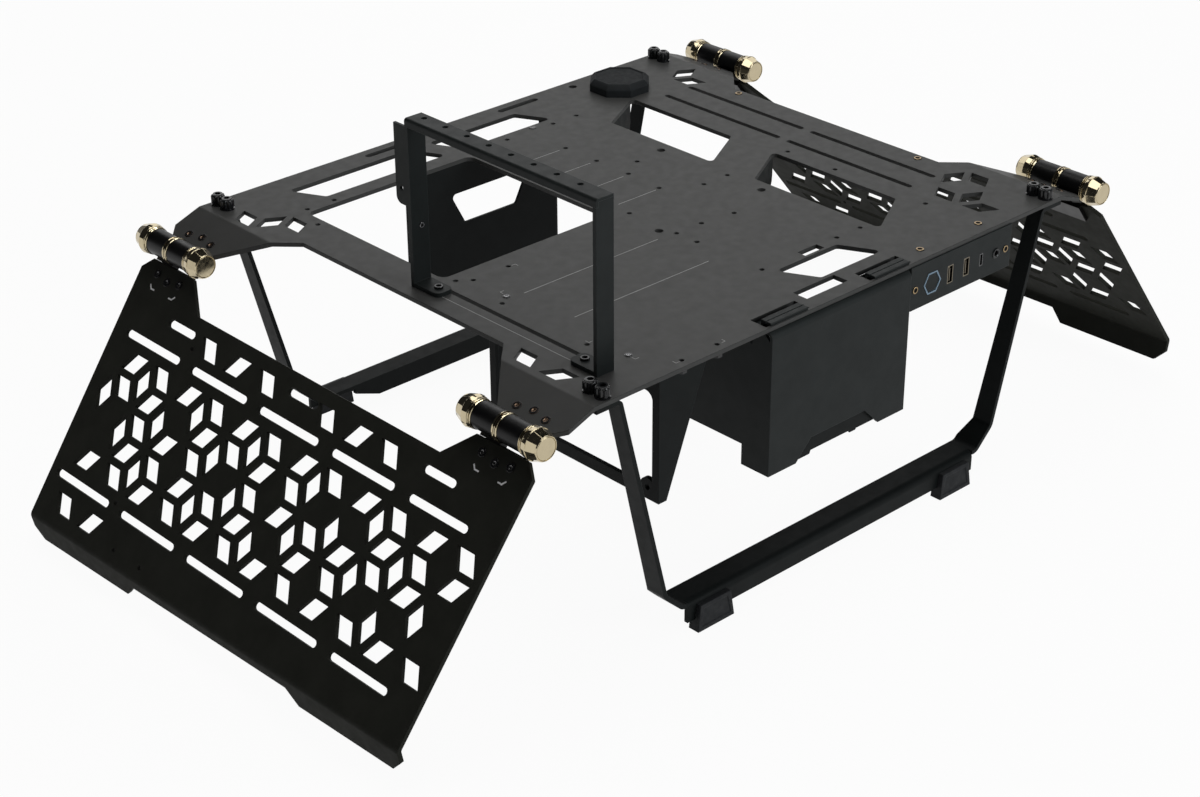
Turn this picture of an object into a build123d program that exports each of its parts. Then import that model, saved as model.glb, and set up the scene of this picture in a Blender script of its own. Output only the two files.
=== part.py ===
from build123d import *
import os
from math import cos, pi, radians, sin, sqrt, tan

# Open air test bench: a folded plate on two strap stands, with a perforated wing hinged to each side.
# Origin on the floor under the middle of the plate. X runs across the bench towards the right wing,
# Y runs along the hinges, away from the panel edge, and Z points up.

# Sheet, fits and fasteners
SHEET = 3.0
THIN_SHEET = 2.0
BEND = 2.0
FIT = 0.05
GAP = 0.3
SCREW_RADIUS = 1.6
SCREW_HEAD_RADIUS = 2.6
SCREW_HEAD_HEIGHT = 0.9
SCREW_TAIL = 1.5
SMALL_SIDES = 8
ROUND_SIDES = 20
SLOT_END_SIDES = 6

# Plate
PLATE_LENGTH = 399.0
PLATE_WIDTH = 412.7
PLATE_TOP = 195.0
EAR_SETOUT = 15.25
EAR_SLOPE = 30.6
EAR_ANGLE = 20.0
EAR_EDGE = 46.0
EAR_CORNER = 8.2

# Hinges
HINGE_INSET = 31.1
EAR_TO_AXIS = 12.2
AXIS_RISE = 5.0
BARREL_RADIUS = 9.0
BARREL_LENGTH = 18.2
RING_RADIUS = 9.6
RING_WIDTH = 4.5
RING_GROOVE = 1.0
PIN_RADIUS = 3.0
PIN_IN_CAP = 6.0
CAP_RING = 3.0
CAP_ROOT_RADIUS = 10.0
CAP_RADIUS = 11.2
CAP_END_RADIUS = 8.2
CAP_FLARE = 4.0
CAP_TAPER = 7.5
CAP_SIDES = 12
LEAF = 3.0
LEAF_REACH = 28.0
LEAF_WIDTH = 36.0
LEAF_SCREW_PITCH = 12.6
LEAF_SCREW_REACH = 19.5
LEAF_SCREW_STEP = 2.3

# Wings
WING_ANGLE = 52.0
WING_RISE = 5.6
WING_OVERHANG = 0.5
WING_EDGE = 11.4
WING_SETBACK = 20.3
WING_FOLD = 199.5
WING_FOLD_SKEW = 1.46
WING_TAPER = 11.0
LIP_ANGLE = 49.0
LIP_TAB = 18.4
LIP_MIDDLE = 8.4
LIP_TAB_FAR_END = 77.0
LIP_TAB_NEAR_END = -98.0
LIP_CORNER = 9.0

# Wing cut-outs: cells of a flat-topped hexagon pattern, each hexagon split into three rhombi
STRUT = 5.0
PATTERN_COLUMNS = 16.5
PATTERN_FAR_MARGIN = 39.1
PATTERN_NEAR_MARGIN = 17.7
PATTERN_REACH = 80.2
SLOT_WIDTH = 5.5
SLOT_COUNT = 5
SLOT_SPACE = 17.8
SLOT_FAR_MARGIN = 18.85
SLOT_NEAR_MARGIN = 4.65
SLOT_REACHES = (63.9, 169.4)
LAST_SLOT_SHORTER = 7.5
SHORT_SLOT_LENGTH = 25.0
SHORT_SLOT_REACH = 44.2
SHORT_SLOT_MARGIN = 66.5
WING_HOLE_RADIUS = 1.6
WING_HOLES = ((52.2, 115.2), (165.7, 115.2), (192.2, 96.2), (192.2, 66.2))

# Stands and feet
STAND_INSET = 6.6
STAND_LEAN = 14.3
LEG_TOP_WIDTH = 11.0
LEG_LOW_WIDTH = 15.5
RAIL_WIDTH = 20.0
STAND_TAB = 20.5
STAND_TAB_WIDTH = 22.0
RAIL_TOP = 23.0
KNEE_RISE = 14.0
KNEE_RUN = 14.5
STRAP_BEND = 5.0
FLANGE_MARGIN = 3.7
FLANGE_BOTTOM = 8.0
INNER_FLANGE_INSET = 29.0
INNER_FLANGE_RUN = 22.0
INNER_FLANGE_TIP = 4.0
FOOT_INSET = 22.0
FOOT_LENGTH = 33.0
FOOT_WALL = 4.5
FOOT_HEIGHT = 19.0
FOOT_CHAMFER = 1.2
STAND_SCREW_X = 10.0
STAND_SCREW_INSETS = (6.0, 16.5)
STAND_SCREW_RADIUS = 4.8
STAND_SCREW_HEIGHT = 8.0
STAND_SCREW_SIDES = 14
STAND_SCREW_SHANK = 1.9
STAND_SCREW_SLOT = 1.4
STAND_SCREW_SLOT_DEPTH = 2.0

# Motherboard datum hole from the plate's left edge and middle, and the board's standard hole grid
BOARD_INSET = 35.7
BOARD_Y = -13.5
BOARD_HOLE_RADIUS = 1.75
BOARD_COLUMNS = (0.0, 154.94, 227.33, 250.8)
BOARD_ROWS = (157.48, 0.0, -45.72, -124.46)
BOARD_SKIPPED = ((154.94, 157.48), (227.33, -45.72), (250.8, -45.72))
EXTRA_HOLES = (
    (22.86, 157.48), (182.0, 157.48), (-10.5, 132.0), (313.5, 0.0), (178.7, -45.72),
    (313.5, -45.72), (154.94, -65.0), (313.5, -129.0), (222.0, 62.0), (207.0, -49.0), (200.0, 17.0),
    (202.0, 50.0), (202.0, 83.0), (202.0, 116.0),
)
VESA_PITCH = 100.0
VESA_CENTRE = (199.2, 15.2)
VESA_HOLE_RADIUS = 3.0
INNER_NUT_XS = (9.0, 39.0)
INNER_NUT_TO_CPU = 15.0
EDGE_NUT_XS = (27.0, 57.5)
EDGE_NUT_INSET = 7.0
NUT_RADIUS = 3.5
NUT_HEIGHT = 5.0

# Plate openings, measured from the board datum
CPU_CORNERS = ((-4.0, 8.0), (142.0, 152.5))
CPU_CORNER_RADIUS = 6.0
PASS_LEAN = 0.52
PASS_CORNER = 3.0
FAR_PASS_YS = (166.0, 192.3)
FAR_PASS_XS = ((23.0, 131.0), (149.0, 233.0))
NEAR_PASS_YS = (-159.0, -132.0)
NEAR_PASS_XS = (174.0, 233.0)
SIDE_PASS_INSETS = (117.0, 72.0)
SIDE_PASS_YS = ((24.0, 129.0), (-134.0, -18.0))
SIDE_PASS_LEAN = 24.5
FAN_SLOT_WIDTH = 4.3
FAN_SLOT_INSETS = (48.3, 23.0)
FAN_SLOT_YS = ((24.5, 139.0), (-101.5, 12.5))
FAR_SLOTS_INSET = 9.5
FAR_SLOTS_XS = ((89.5, 125.0), (216.0, 250.0))
FAR_SLOT_WIDTH = 5.0
FAR_HOLE_X = 289.5
CARD_SLOT_X = -12.5
CARD_SLOT_WIDTH = 3.6
CARD_SLOT_YS = (-137.5, 0.0)
SMALL_PASS = ((191.0, -129.5), (209.5, -122.5))
LABEL_PASS = ((144.0, -174.0), (182.5, -162.0))
LEFT_CELLS = (
    ("up", -39.5, 174.0), ("up", -21.5, 142.0), ("up", -38.5, -111.5), ("down", -38.5, -141.5),
    ("flat", -30.5, 157.5),
)
RIGHT_CELLS = (
    ("up", 41.5, -128.0), ("up", 4.5, -128.0), ("down", 41.5, -159.5), ("down", 13.5, 150.0),
    ("flat", 14.0, -112.5), ("flat", 32.0, -143.5), ("flat", 4.5, 165.3),
)

# Power-supply frame, round the standard supply's screw holes
SUPPLY_X = 12.5
SUPPLY_EDGE = 11.0
SUPPLY_TO_CPU = 25.0
SUPPLY_HEIGHT = 94.0
SUPPLY_POST = 6.0
SUPPLY_BAR = 8.5
SUPPLY_TOP_BAR = 18.0
SUPPLY_HOLE_INSET = 10.0
SUPPLY_HOLE_RADIUS = 2.0
SUPPLY_TAB_RADIUS = 6.5
SUPPLY_FLANGE = 14.0
SUPPLY_SCREW_INSET = 23.0
GUSSET_TOP = 43.0
GUSSET_FOOT = 7.0

# Drive box at the panel edge and drive panel under the far edge
BOX_INSET = 280.35
BOX_WIDTH = 132.0
BOX_PROUD = 3.0
BOX_DEPTH = 75.0
BOX_HEIGHT = 102.5
BOX_TOP_BEND = 5.0
BOX_STEP = 15.0
BOX_STEP_DEPTH = 24.0
BOX_FLANGE = 12.0
BOX_RETURN = 18.0
BOX_NOTCH_WIDTH = 80.0
BOX_NOTCH_HEIGHT = 14.0
BOX_LIP_SPAN = 92.0
BOX_LIP_DEPTH = 6.0
BOX_LIP_STEP = 3.0
HOOK_LENGTH = 34.0
HOOK_STARTS = (278.0, 180.5)
HOOK_RISE = 2.0
HOOK_INSET = 9.0
HOOK_WIDTH = 8.5
HOOK_GROOVE = 0.8
HOOK_SLOT_WIDTH = 13.5
HOOK_SLOT_MARGIN = 3.0
DRIVE_PANEL_INSET = 278.0
DRIVE_PANEL_WIDTH = 131.5
DRIVE_PANEL_Y = 155.0
DRIVE_PANEL_DROP = 92.0
DRIVE_PANEL_FLANGE = 11.0
DRIVE_PANEL_RETURN = 20.0
DRIVE_WINDOW_DROPS = (26.8, 51.5)
DRIVE_WINDOW_TOP = 75.0
DRIVE_WINDOW_BOTTOM = 49.0
DRIVE_WINDOW_SHIFT = -2.25
DRIVE_WINDOW_CORNER = 3.0
DRIVE_SCREW_INSET = 19.5
DRIVE_SCREW_REACH = 7.0

# Expansion-card bracket
BAR_LEFT = -25.4
BAR_WIDTH = 14.0
BAR_RISE = 115.0
BAR_LIP = 5.5
POST_NEAR_Y = -160.5
POST_FAR_Y = 13.5
CARD_PITCH = 20.32
CARD_COUNT = 8
CARD_FIRST_Y = 4.6
CARD_HOLE_X = -16.4
CARD_HOLE_RADIUS = 2.0
POST_FOOT = 26.0
POST_SCREW_REACH = 18.5
POST_SCREW_X = -18.0
POST_SCREW_RADIUS = 3.4
POST_SCREW_HEIGHT = 2.2
POST_WING = 11.0
POST_WING_HEIGHT = 54.0
POST_WING_CORNER = 5.0

# Input and output panel, with its features measured from the plate's right edge
PANEL_INSET = 146.0
PANEL_WIDTH = 104.5
PANEL_DROP = 31.5
PANEL_PROUD = 1.0
PANEL_FLANGE = 20.0
PANEL_CORNER = 1.0
PANEL_LINE = 17.0
BUTTON_INSET = 124.0
USB_A_INSETS = (105.4, 88.6)
USB_C_INSET = 72.8
AUDIO_INSET = 57.2
PANEL_SCREW_INSETS = (141.3, 47.0)
FLANGE_SCREW_INSETS = (124.0, 63.5)
FLANGE_SCREW_REACH = 11.0
SIDE_SCREW_INSET = 5.5
SIDE_SCREW_YS = (-73.0, 105.0)
BOARD_BEHIND = 14.0
IO_BOARD = 1.6
IO_BOARD_MARGIN = 2.5
IO_BOARD_HEIGHT = 24.0
USB_A = (5.7, 13.1)
USB_C = (3.4, 9.0)
SOCKET_WALL = 0.6
SOCKET_DEPTH = 9.0
AUDIO_RADIUS = 3.4
AUDIO_BORE = 1.75
BUTTON_FLATS = 12.6
BUTTON_RING = 1.0
BUTTON_RING_DEPTH = 6.0
BUTTON_DEPTH = 7.0
BUTTON_TRAVEL = 1.5
BUTTON_STEM = 1.5
SWITCH_SIZE = 7.0
SWITCH_DEPTH = 5.0
SWITCH_BORE = 3.5

# Octagonal pad on the plate
PAD_INSET = 62.0
PAD_Y = 178.0
PAD_FLATS = 45.0
PAD_HEIGHT = 9.6
PAD_RIM = 5.0
PAD_RECESS = 1.2

# Places worked out from the sizes above
half_length = PLATE_LENGTH / 2
half_width = PLATE_WIDTH / 2
board_x = BOARD_INSET - half_width
right_edge = half_width - board_x
half_wing = half_length + WING_OVERHANG
cell = (2 * half_wing - PATTERN_FAR_MARGIN - PATTERN_NEAR_MARGIN) / PATTERN_COLUMNS
plate_under = PLATE_TOP - SHEET
slope_x = cos(radians(EAR_ANGLE))
slope_z = sin(radians(EAR_ANGLE))
bend_x = half_width + EAR_SETOUT
ear_x = bend_x + EAR_SLOPE * slope_x
axis_x = bend_x + (EAR_SLOPE + EAR_TO_AXIS) * slope_x + AXIS_RISE * slope_z
axis_z = PLATE_TOP - (EAR_SLOPE + EAR_TO_AXIS) * slope_z + AXIS_RISE * slope_x
hinge_y = half_length - HINGE_INSET
panel_front = -half_length - PANEL_PROUD
panel_mid_z = plate_under - PANEL_LINE
leaf_screws = [
    (LEAF_SCREW_REACH + (LEAF_SCREW_STEP if step == 0 else 0), step * LEAF_SCREW_PITCH)
    for step in (-1, 0, 1)
]


def on_board(x, y):
    """Place on the plate of a point measured from the board datum hole."""
    return (x + board_x, y + BOARD_Y)


def block(x, y, z):
    """Box between pairs of limits along X, Y and Z."""
    size = Box(x[1] - x[0], y[1] - y[0], z[1] - z[0])
    return Pos((x[0] + x[1]) / 2, (y[0] + y[1]) / 2, (z[0] + z[1]) / 2) * size


def rod(radius, x, y, z):
    """Upright cylinder between two heights."""
    return Pos(x, y, z[0]) * Cylinder(radius, z[1] - z[0], align=(Align.CENTER, Align.CENTER, Align.MIN))


def rod_y(radius, y, x=0, z=0):
    """Cylinder lying along Y between two places."""
    return extrude(Plane.XZ.offset(-y[1]) * Pos(x, z) * Circle(radius), y[1] - y[0], dir=(0, -1, 0))


def along_y(section, y):
    """Solid of an XZ section between two places along Y."""
    return extrude(Plane.XZ.offset(-y[1]) * section, y[1] - y[0], dir=(0, -1, 0))


def along_x(section, x):
    """Solid of a YZ section between two places along X."""
    return extrude(Plane.YZ.offset(x[0]) * section, x[1] - x[0], dir=(1, 0, 0))


def upright(outline, z):
    """Solid of a plan outline between two heights."""
    return extrude(Pos(0, 0, z[0]) * outline, z[1] - z[0], dir=(0, 0, 1))


def folded(path, thickness, bend):
    """Section of a sheet whose outer face follows a path, with its thickness on the path's right."""
    return make_face(offset(FilletPolyline(*path, radius=bend), thickness, side=Side.RIGHT))


def area(*points):
    """Flat shape through corner points."""
    return Polygon(*points, align=None)


def rectangle(low, high):
    """Flat rectangle between two corners."""
    return Pos((low[0] + high[0]) / 2, (low[1] + high[1]) / 2) * Rectangle(high[0] - low[0], high[1] - low[1])


def small_hole(radius):
    """Flat shape of a small hole, with few sides that clear a given radius."""
    return RegularPolygon(radius / cos(pi / SMALL_SIDES), SMALL_SIDES)


def peg(radius, z):
    """Small upright rod on the Z axis with few sides."""
    return upright(RegularPolygon(radius, SMALL_SIDES), z)


def slot(start, end, width):
    """Flat slot between its two end centres, each end rounded with a few sides."""
    middle = ((start[0] + end[0]) / 2, (start[1] + end[1]) / 2)
    lean = 90 if start[0] == end[0] else 0
    reach = (abs(end[0] - start[0]) + abs(end[1] - start[1])) / 2
    turns = [pi * (step / SLOT_END_SIDES - 0.5) for step in range(SLOT_END_SIDES + 1)]
    cap = [(reach + width / 2 * cos(turn), width / 2 * sin(turn)) for turn in turns]
    return Pos(*middle) * Rot(0, 0, lean) * area(*cap, *[(-x, -y) for x, y in cap])


def rhombus(x, y, first, second, side):
    """Flat rhombus round a centre, from the directions of its two edges."""
    half = side / 2
    corners = ((-1, -1), (1, -1), (1, 1), (-1, 1))
    return area(*[
        (x + half * (a * first[0] + b * second[0]), y + half * (a * first[1] + b * second[1]))
        for a, b in corners
    ])


def screw(head_radius, head_height, shank_radius, length):
    """Flat-headed screw standing on Z = 0 with its shank below."""
    return peg(head_radius, (0, head_height)) + peg(shank_radius, (-length, 0))


def mirrored(part):
    """Copy on the other side of the bench."""
    return mirror(part, about=Plane.YZ)


def save(name, part):
    """Write a piece, or a group of like pieces, under its node name."""
    shape = Compound(children=part) if isinstance(part, list) else part
    export_step(shape, f"parts/{name}.step")


# Plate
def ear_corner(side, end):
    """Plan corners of one hinge ear, from the plate's side edge to its end edge."""
    inner_y = hinge_y - EAR_EDGE / 2
    outer_y = hinge_y + EAR_EDGE / 2
    points = [
        (half_width, inner_y - (ear_x - half_width)),
        (ear_x, inner_y),
        (ear_x, outer_y),
        (ear_x - EAR_CORNER, half_length),
    ]
    return [(side * x, end * y) for x, y in points]


def leaning_pass(xs, ys):
    """Cable opening with leaning ends: its limits along X at the near edge, and its two edges."""
    shift = -PASS_LEAN * (ys[1] - ys[0])
    shape = area((xs[0], ys[0]), (xs[1], ys[0]), (xs[1] + shift, ys[1]), (xs[0] + shift, ys[1]))
    return fillet(shape.vertices(), PASS_CORNER)


def side_pass(ys):
    """Cable opening beside the board, with both ends leaning the same way."""
    left, right = [right_edge - inset for inset in SIDE_PASS_INSETS]
    shape = area(
        (left, ys[0]), (right, ys[0] + SIDE_PASS_LEAN), (right, ys[1] + SIDE_PASS_LEAN), (left, ys[1])
    )
    return fillet(shape.vertices(), PASS_CORNER)


def board_openings():
    """Openings of the plate that are measured from the board datum."""
    up = (0, 1)
    rising = (cos(radians(30)), sin(radians(30)))
    falling = (cos(radians(30)), -sin(radians(30)))
    edges = {"up": (up, rising), "down": (up, falling), "flat": (rising, falling)}
    side = cell - STRUT / cos(radians(30))
    cpu = rectangle(*CPU_CORNERS)
    shapes = [fillet(cpu.vertices(), CPU_CORNER_RADIUS)]
    shapes += [leaning_pass(xs, FAR_PASS_YS) for xs in FAR_PASS_XS]
    shapes += [leaning_pass(NEAR_PASS_XS, NEAR_PASS_YS)]
    shapes += [side_pass(ys) for ys in SIDE_PASS_YS]
    for inset in FAN_SLOT_INSETS:
        x = right_edge - inset
        shapes += [slot((x, ys[0]), (x, ys[1]), FAN_SLOT_WIDTH) for ys in FAN_SLOT_YS]
    shapes += [slot((CARD_SLOT_X, CARD_SLOT_YS[0]), (CARD_SLOT_X, CARD_SLOT_YS[1]), CARD_SLOT_WIDTH)]
    shapes += [rectangle(*SMALL_PASS), rectangle(*LABEL_PASS)]
    shapes += [rhombus(x, y, *edges[lean], side) for lean, x, y in LEFT_CELLS]
    shapes += [rhombus(right_edge - inset, y, *edges[lean], side) for lean, inset, y in RIGHT_CELLS]
    return shapes


def board_holes():
    """Mounting holes of the plate: the board's grid, the holes for smaller parts and the screen pattern."""
    grid = [(x, y) for x in BOARD_COLUMNS for y in BOARD_ROWS if (x, y) not in BOARD_SKIPPED]
    shapes = [Pos(x, y) * Circle(BOARD_HOLE_RADIUS) for x, y in grid]
    shapes += [Pos(x, y) * small_hole(BOARD_HOLE_RADIUS) for x, y in EXTRA_HOLES]
    half = VESA_PITCH / 2
    for a in (-1, 1):
        for b in (-1, 1):
            place = (VESA_CENTRE[0] + a * half, VESA_CENTRE[1] + b * half)
            shapes.append(Pos(*place) * Circle(VESA_HOLE_RADIUS))
    return shapes


cpu_near = CPU_CORNERS[0][1] + BOARD_Y
nut_places = [(x + board_x, cpu_near - INNER_NUT_TO_CPU) for x in INNER_NUT_XS]
nut_places += [(x + board_x, -half_length + EDGE_NUT_INSET) for x in EDGE_NUT_XS]
supply_screw_x = SUPPLY_X + board_x - SUPPLY_FLANGE / 2 + SHEET
supply_y = (-half_length + SUPPLY_EDGE, cpu_near - SUPPLY_TO_CPU)
supply_screws = [
    (supply_screw_x, supply_y[0] + SUPPLY_SCREW_INSET), (supply_screw_x, supply_y[1] - SUPPLY_SCREW_INSET)
]
flange_screws = [(half_width - inset, -half_length + FLANGE_SCREW_REACH) for inset in FLANGE_SCREW_INSETS]
side_screws = [(half_width - SIDE_SCREW_INSET, y + BOARD_Y) for y in SIDE_SCREW_YS]
post_screws = [
    (POST_SCREW_X + board_x, POST_NEAR_Y + BOARD_Y + POST_SCREW_REACH),
    (POST_SCREW_X + board_x, POST_FAR_Y + BOARD_Y - POST_SCREW_REACH),
]
stand_screw_x = half_width - STAND_INSET + STAND_SCREW_X
hook_y = -half_length + HOOK_INSET
box_left = half_width - BOX_INSET
box_right = box_left + BOX_WIDTH
drive_left = half_width - DRIVE_PANEL_INSET
drive_right = drive_left + DRIVE_PANEL_WIDTH
drive_screw = (drive_right - DRIVE_SCREW_INSET, DRIVE_PANEL_Y + BOARD_Y + DRIVE_SCREW_REACH)
hook_spans = [(half_width - inset, half_width - inset + HOOK_LENGTH) for inset in HOOK_STARTS]


def ear_frame(side, y):
    """Frame of a hinge on its axis, with X down the slope of the right ear."""
    return Pos(side * axis_x, y, axis_z) * Rot(0, side * EAR_ANGLE, 0)


def plate():
    """The bench's plate: one sheet with its ears bent down at the four corners."""
    drop = EAR_SLOPE * slope_z
    path = [
        (-ear_x, PLATE_TOP - drop), (-bend_x, PLATE_TOP), (bend_x, PLATE_TOP), (ear_x, PLATE_TOP - drop)
    ]
    sheet = along_y(folded(path, SHEET, BEND + SHEET), (-half_length, half_length))
    corners = ear_corner(1, 1) + ear_corner(-1, 1)[::-1] + ear_corner(-1, -1) + ear_corner(1, -1)[::-1]
    cuts = [Pos(board_x, BOARD_Y) * shape for shape in board_openings() + board_holes()]
    cuts += [Pos(*place) * small_hole(SCREW_RADIUS) for place in nut_places]
    cuts += [Pos(*place) * small_hole(STAND_SCREW_SHANK + FIT) for place in post_screws]
    for end in (-1, 1):
        for inset in STAND_SCREW_INSETS:
            for side in (-1, 1):
                place = (side * stand_screw_x, end * (half_length - inset))
                cuts.append(Pos(*place) * small_hole(STAND_SCREW_SHANK + FIT))
    for span in hook_spans:
        low = (span[0] - HOOK_SLOT_MARGIN, hook_y - HOOK_SLOT_WIDTH / 2)
        high = (span[1] + HOOK_SLOT_MARGIN, hook_y + HOOK_SLOT_WIDTH / 2)
        cuts.append(rectangle(low, high))
    slot_y = half_length - FAR_SLOTS_INSET
    for start, end in FAR_SLOTS_XS:
        cuts.append(slot((start + board_x, slot_y), (end + board_x, slot_y), FAR_SLOT_WIDTH))
    cuts.append(Pos(FAR_HOLE_X + board_x, slot_y) * small_hole(VESA_HOLE_RADIUS))
    outline = area(*corners) - cuts
    return sheet & upright(outline, (PLATE_TOP - drop - 2 * SHEET, PLATE_TOP + SHEET))


save("main_plate", plate())


# Hinges
plate_half_y = (-RING_WIDTH / 2 - GAP - BARREL_LENGTH, -RING_WIDTH / 2 - GAP)
wing_half_y = (RING_WIDTH / 2 + GAP, RING_WIDTH / 2 + GAP + BARREL_LENGTH)
cap_start = wing_half_y[1] + GAP


def hinge_half(side, rise, edge, y):
    """Half of a hinge: a barrel round the axis, a neck past the sheet's edge and a leaf under the sheet."""
    leaf_top = -rise - SHEET
    leaf_low = leaf_top - LEAF
    neck_x = sorted((0, side * (edge - GAP)))
    leaf_x = sorted((side * (edge - 2 * GAP), side * LEAF_REACH))
    barrel = rod_y(BARREL_RADIUS, y)
    neck = block(neck_x, y, (leaf_low, -rise))
    leaf = block(leaf_x, (-LEAF_WIDTH / 2, LEAF_WIDTH / 2), (leaf_low, leaf_top))
    return barrel + neck + leaf - rod_y(PIN_RADIUS + FIT, y)


def hinge_cap():
    """End cap of a hinge, outwards: a ring, facets that flare, and facets that taper to a flat end."""
    ring = upright(RegularPolygon(RING_RADIUS, ROUND_SIDES), (0, CAP_RING))
    root = Pos(0, 0, CAP_RING) * RegularPolygon(CAP_ROOT_RADIUS, CAP_SIDES)
    widest = Pos(0, 0, CAP_RING + CAP_FLARE) * RegularPolygon(CAP_RADIUS, CAP_SIDES)
    end = Pos(0, 0, CAP_RING + CAP_FLARE + CAP_TAPER) * RegularPolygon(CAP_END_RADIUS, CAP_SIDES)
    return ring + loft([root, widest], ruled=True) + loft([widest, end], ruled=True)


def hinge_pin():
    """Hinge pin with its head cap at the near end."""
    head = Pos(0, -cap_start, 0) * Rot(90, 0, 0) * hinge_cap()
    return head + rod_y(PIN_RADIUS, (-cap_start - CAP_RING, cap_start + PIN_IN_CAP))


def far_cap():
    """Cap on the pin's far end, with a blind bore for the pin."""
    bore = upright(small_hole(PIN_RADIUS + FIT), (-GAP, PIN_IN_CAP + GAP))
    return Pos(0, cap_start, 0) * Rot(-90, 0, 0) * (hinge_cap() - bore)


def middle_ring():
    """Ring between the barrels, with a groove round its middle."""
    half = RING_WIDTH / 2
    bore = small_hole(PIN_RADIUS + FIT)
    rim = RegularPolygon(RING_RADIUS, ROUND_SIDES) - bore
    floor = RegularPolygon(RING_RADIUS - RING_GROOVE / 2, ROUND_SIDES) - bore
    groove = (-RING_GROOVE / 2, RING_GROOVE / 2)
    ring = upright(rim, (-half, groove[0])) + upright(floor, groove) + upright(rim, (groove[1], half))
    return Rot(90, 0, 0) * ring


def wing_frame(y):
    """Frame on the right hinge axis with X down the wing at rest and Z out of it."""
    return Pos(axis_x, y, axis_z) * Rot(0, WING_ANGLE, 0)


def leaf_screw(rise, side, reach, y):
    """Flat screw head on a sheet, over the hinge leaf."""
    return Pos(side * reach, y) * peg(SCREW_HEAD_RADIUS, (-rise, -rise + SCREW_HEAD_HEIGHT))


ear_screws = []
wing_screws = []
for end_name, end in (("near", -1), ("far", 1)):
    centre = end * hinge_y
    plate_part = ear_frame(1, centre) * hinge_half(-1, AXIS_RISE, EAR_TO_AXIS, plate_half_y)
    wing_part = wing_frame(centre) * hinge_half(1, WING_RISE, WING_EDGE, wing_half_y)
    fittings = {
        "plate_hinge": plate_part,
        "wing_hinge": wing_part,
        "hinge_pin": ear_frame(1, centre) * hinge_pin(),
        "hinge_cap": ear_frame(1, centre) * far_cap(),
        "hinge_ring": ear_frame(1, centre) * middle_ring(),
    }
    for piece, solid in fittings.items():
        save(f"{piece}_{end_name}_right", solid)
        save(f"{piece}_{end_name}_left", mirrored(solid))
    for reach, y in leaf_screws:
        ear_screws.append(ear_frame(1, centre) * leaf_screw(AXIS_RISE, -1, reach, y))
        wing_screws.append(wing_frame(centre) * leaf_screw(WING_RISE, 1, reach, y))
save("ear_screws", ear_screws + [mirrored(solid) for solid in ear_screws])
save("right_wing_screws", wing_screws)
save("left_wing_screws", [mirrored(solid) for solid in wing_screws])


# Wings: rows of the pattern down from its first row, with the open cells of each row.
# A leans like a slash, B like a backslash and C stands on its point.
open_cells = (
    (-1.5625, "B", (2.95, 6.0, 9.0, 12.0)),
    (-1.5625, "A", (4.45, 10.5)),
    (0.0, "A", (0, 3, 6, 9, 12, 15)),
    (0.0, "B", (1.5, 4.5, 7.5, 10.5, 13.5, 16.5)),
    (0.433, "C", (0.75, 3.75, 6.75, 9.75, 12.75)),
    (0.866, "A", (1.5, 4.5, 7.5, 13.5, 16.5)),
    (0.866, "B", (0, 6, 9, 15)),
    (1.299, "C", (-0.75, 2.25, 5.25, 11.25, 14.25)),
    (1.732, "A", (3, 9, 12, 15)),
    (1.732, "B", (1.5, 4.5, 7.5, 10.5, 13.5)),
    (2.165, "C", (0.75, 6.75, 9.75, 12.75, 15.75)),
    (2.598, "A", (1.5, 4.5, 7.5, 10.5)),
    (2.598, "B", (3, 6, 12)),
    (3.031, "C", (2.25, 5.25, 8.25, 14.25)),
    (3.464, "A", (0, 3, 6, 9, 12, 15)),
    (3.464, "B", (1.5, 4.5, 7.5, 10.5, 13.5, 16.5)),
    (5.11, "A", (1.5,)),
    (5.11, "B", (0,)),
)


def wing_cells():
    """Open rhombi of the wing, in its own frame: X down the wing, Y along the hinge."""
    level = (0, -1)
    rising = (-sin(radians(60)), -cos(radians(60)))
    falling = (sin(radians(60)), -cos(radians(60)))
    edges = {"A": (level, rising), "B": (level, falling), "C": (rising, falling)}
    side = cell - STRUT / sin(radians(60))
    start = half_wing - PATTERN_FAR_MARGIN
    cells = []
    for row, kind, places in open_cells:
        for place in places:
            cells.append(rhombus(PATTERN_REACH + row * cell, start - place * cell, *edges[kind], side))
    return cells


def wing_slots():
    """Long radiator slots in two rows, and three short ones by the hinge edge."""
    pitch = (2 * half_wing - SLOT_FAR_MARGIN - SLOT_NEAR_MARGIN) / SLOT_COUNT
    shapes = []
    for reach in SLOT_REACHES:
        for index in range(SLOT_COUNT):
            start = half_wing - SLOT_FAR_MARGIN - index * pitch
            length = pitch - SLOT_SPACE
            if index == SLOT_COUNT - 1:
                length -= LAST_SLOT_SHORTER
            shapes.append(slot((reach, start), (reach, start - length), SLOT_WIDTH))
    for index in (-1, 0, 1):
        middle = index * (half_wing - SHORT_SLOT_MARGIN)
        ends = (middle - SHORT_SLOT_LENGTH / 2, middle + SHORT_SLOT_LENGTH / 2)
        shapes.append(slot((SHORT_SLOT_REACH, ends[0]), (SHORT_SLOT_REACH, ends[1]), SLOT_WIDTH))
    return shapes


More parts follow.
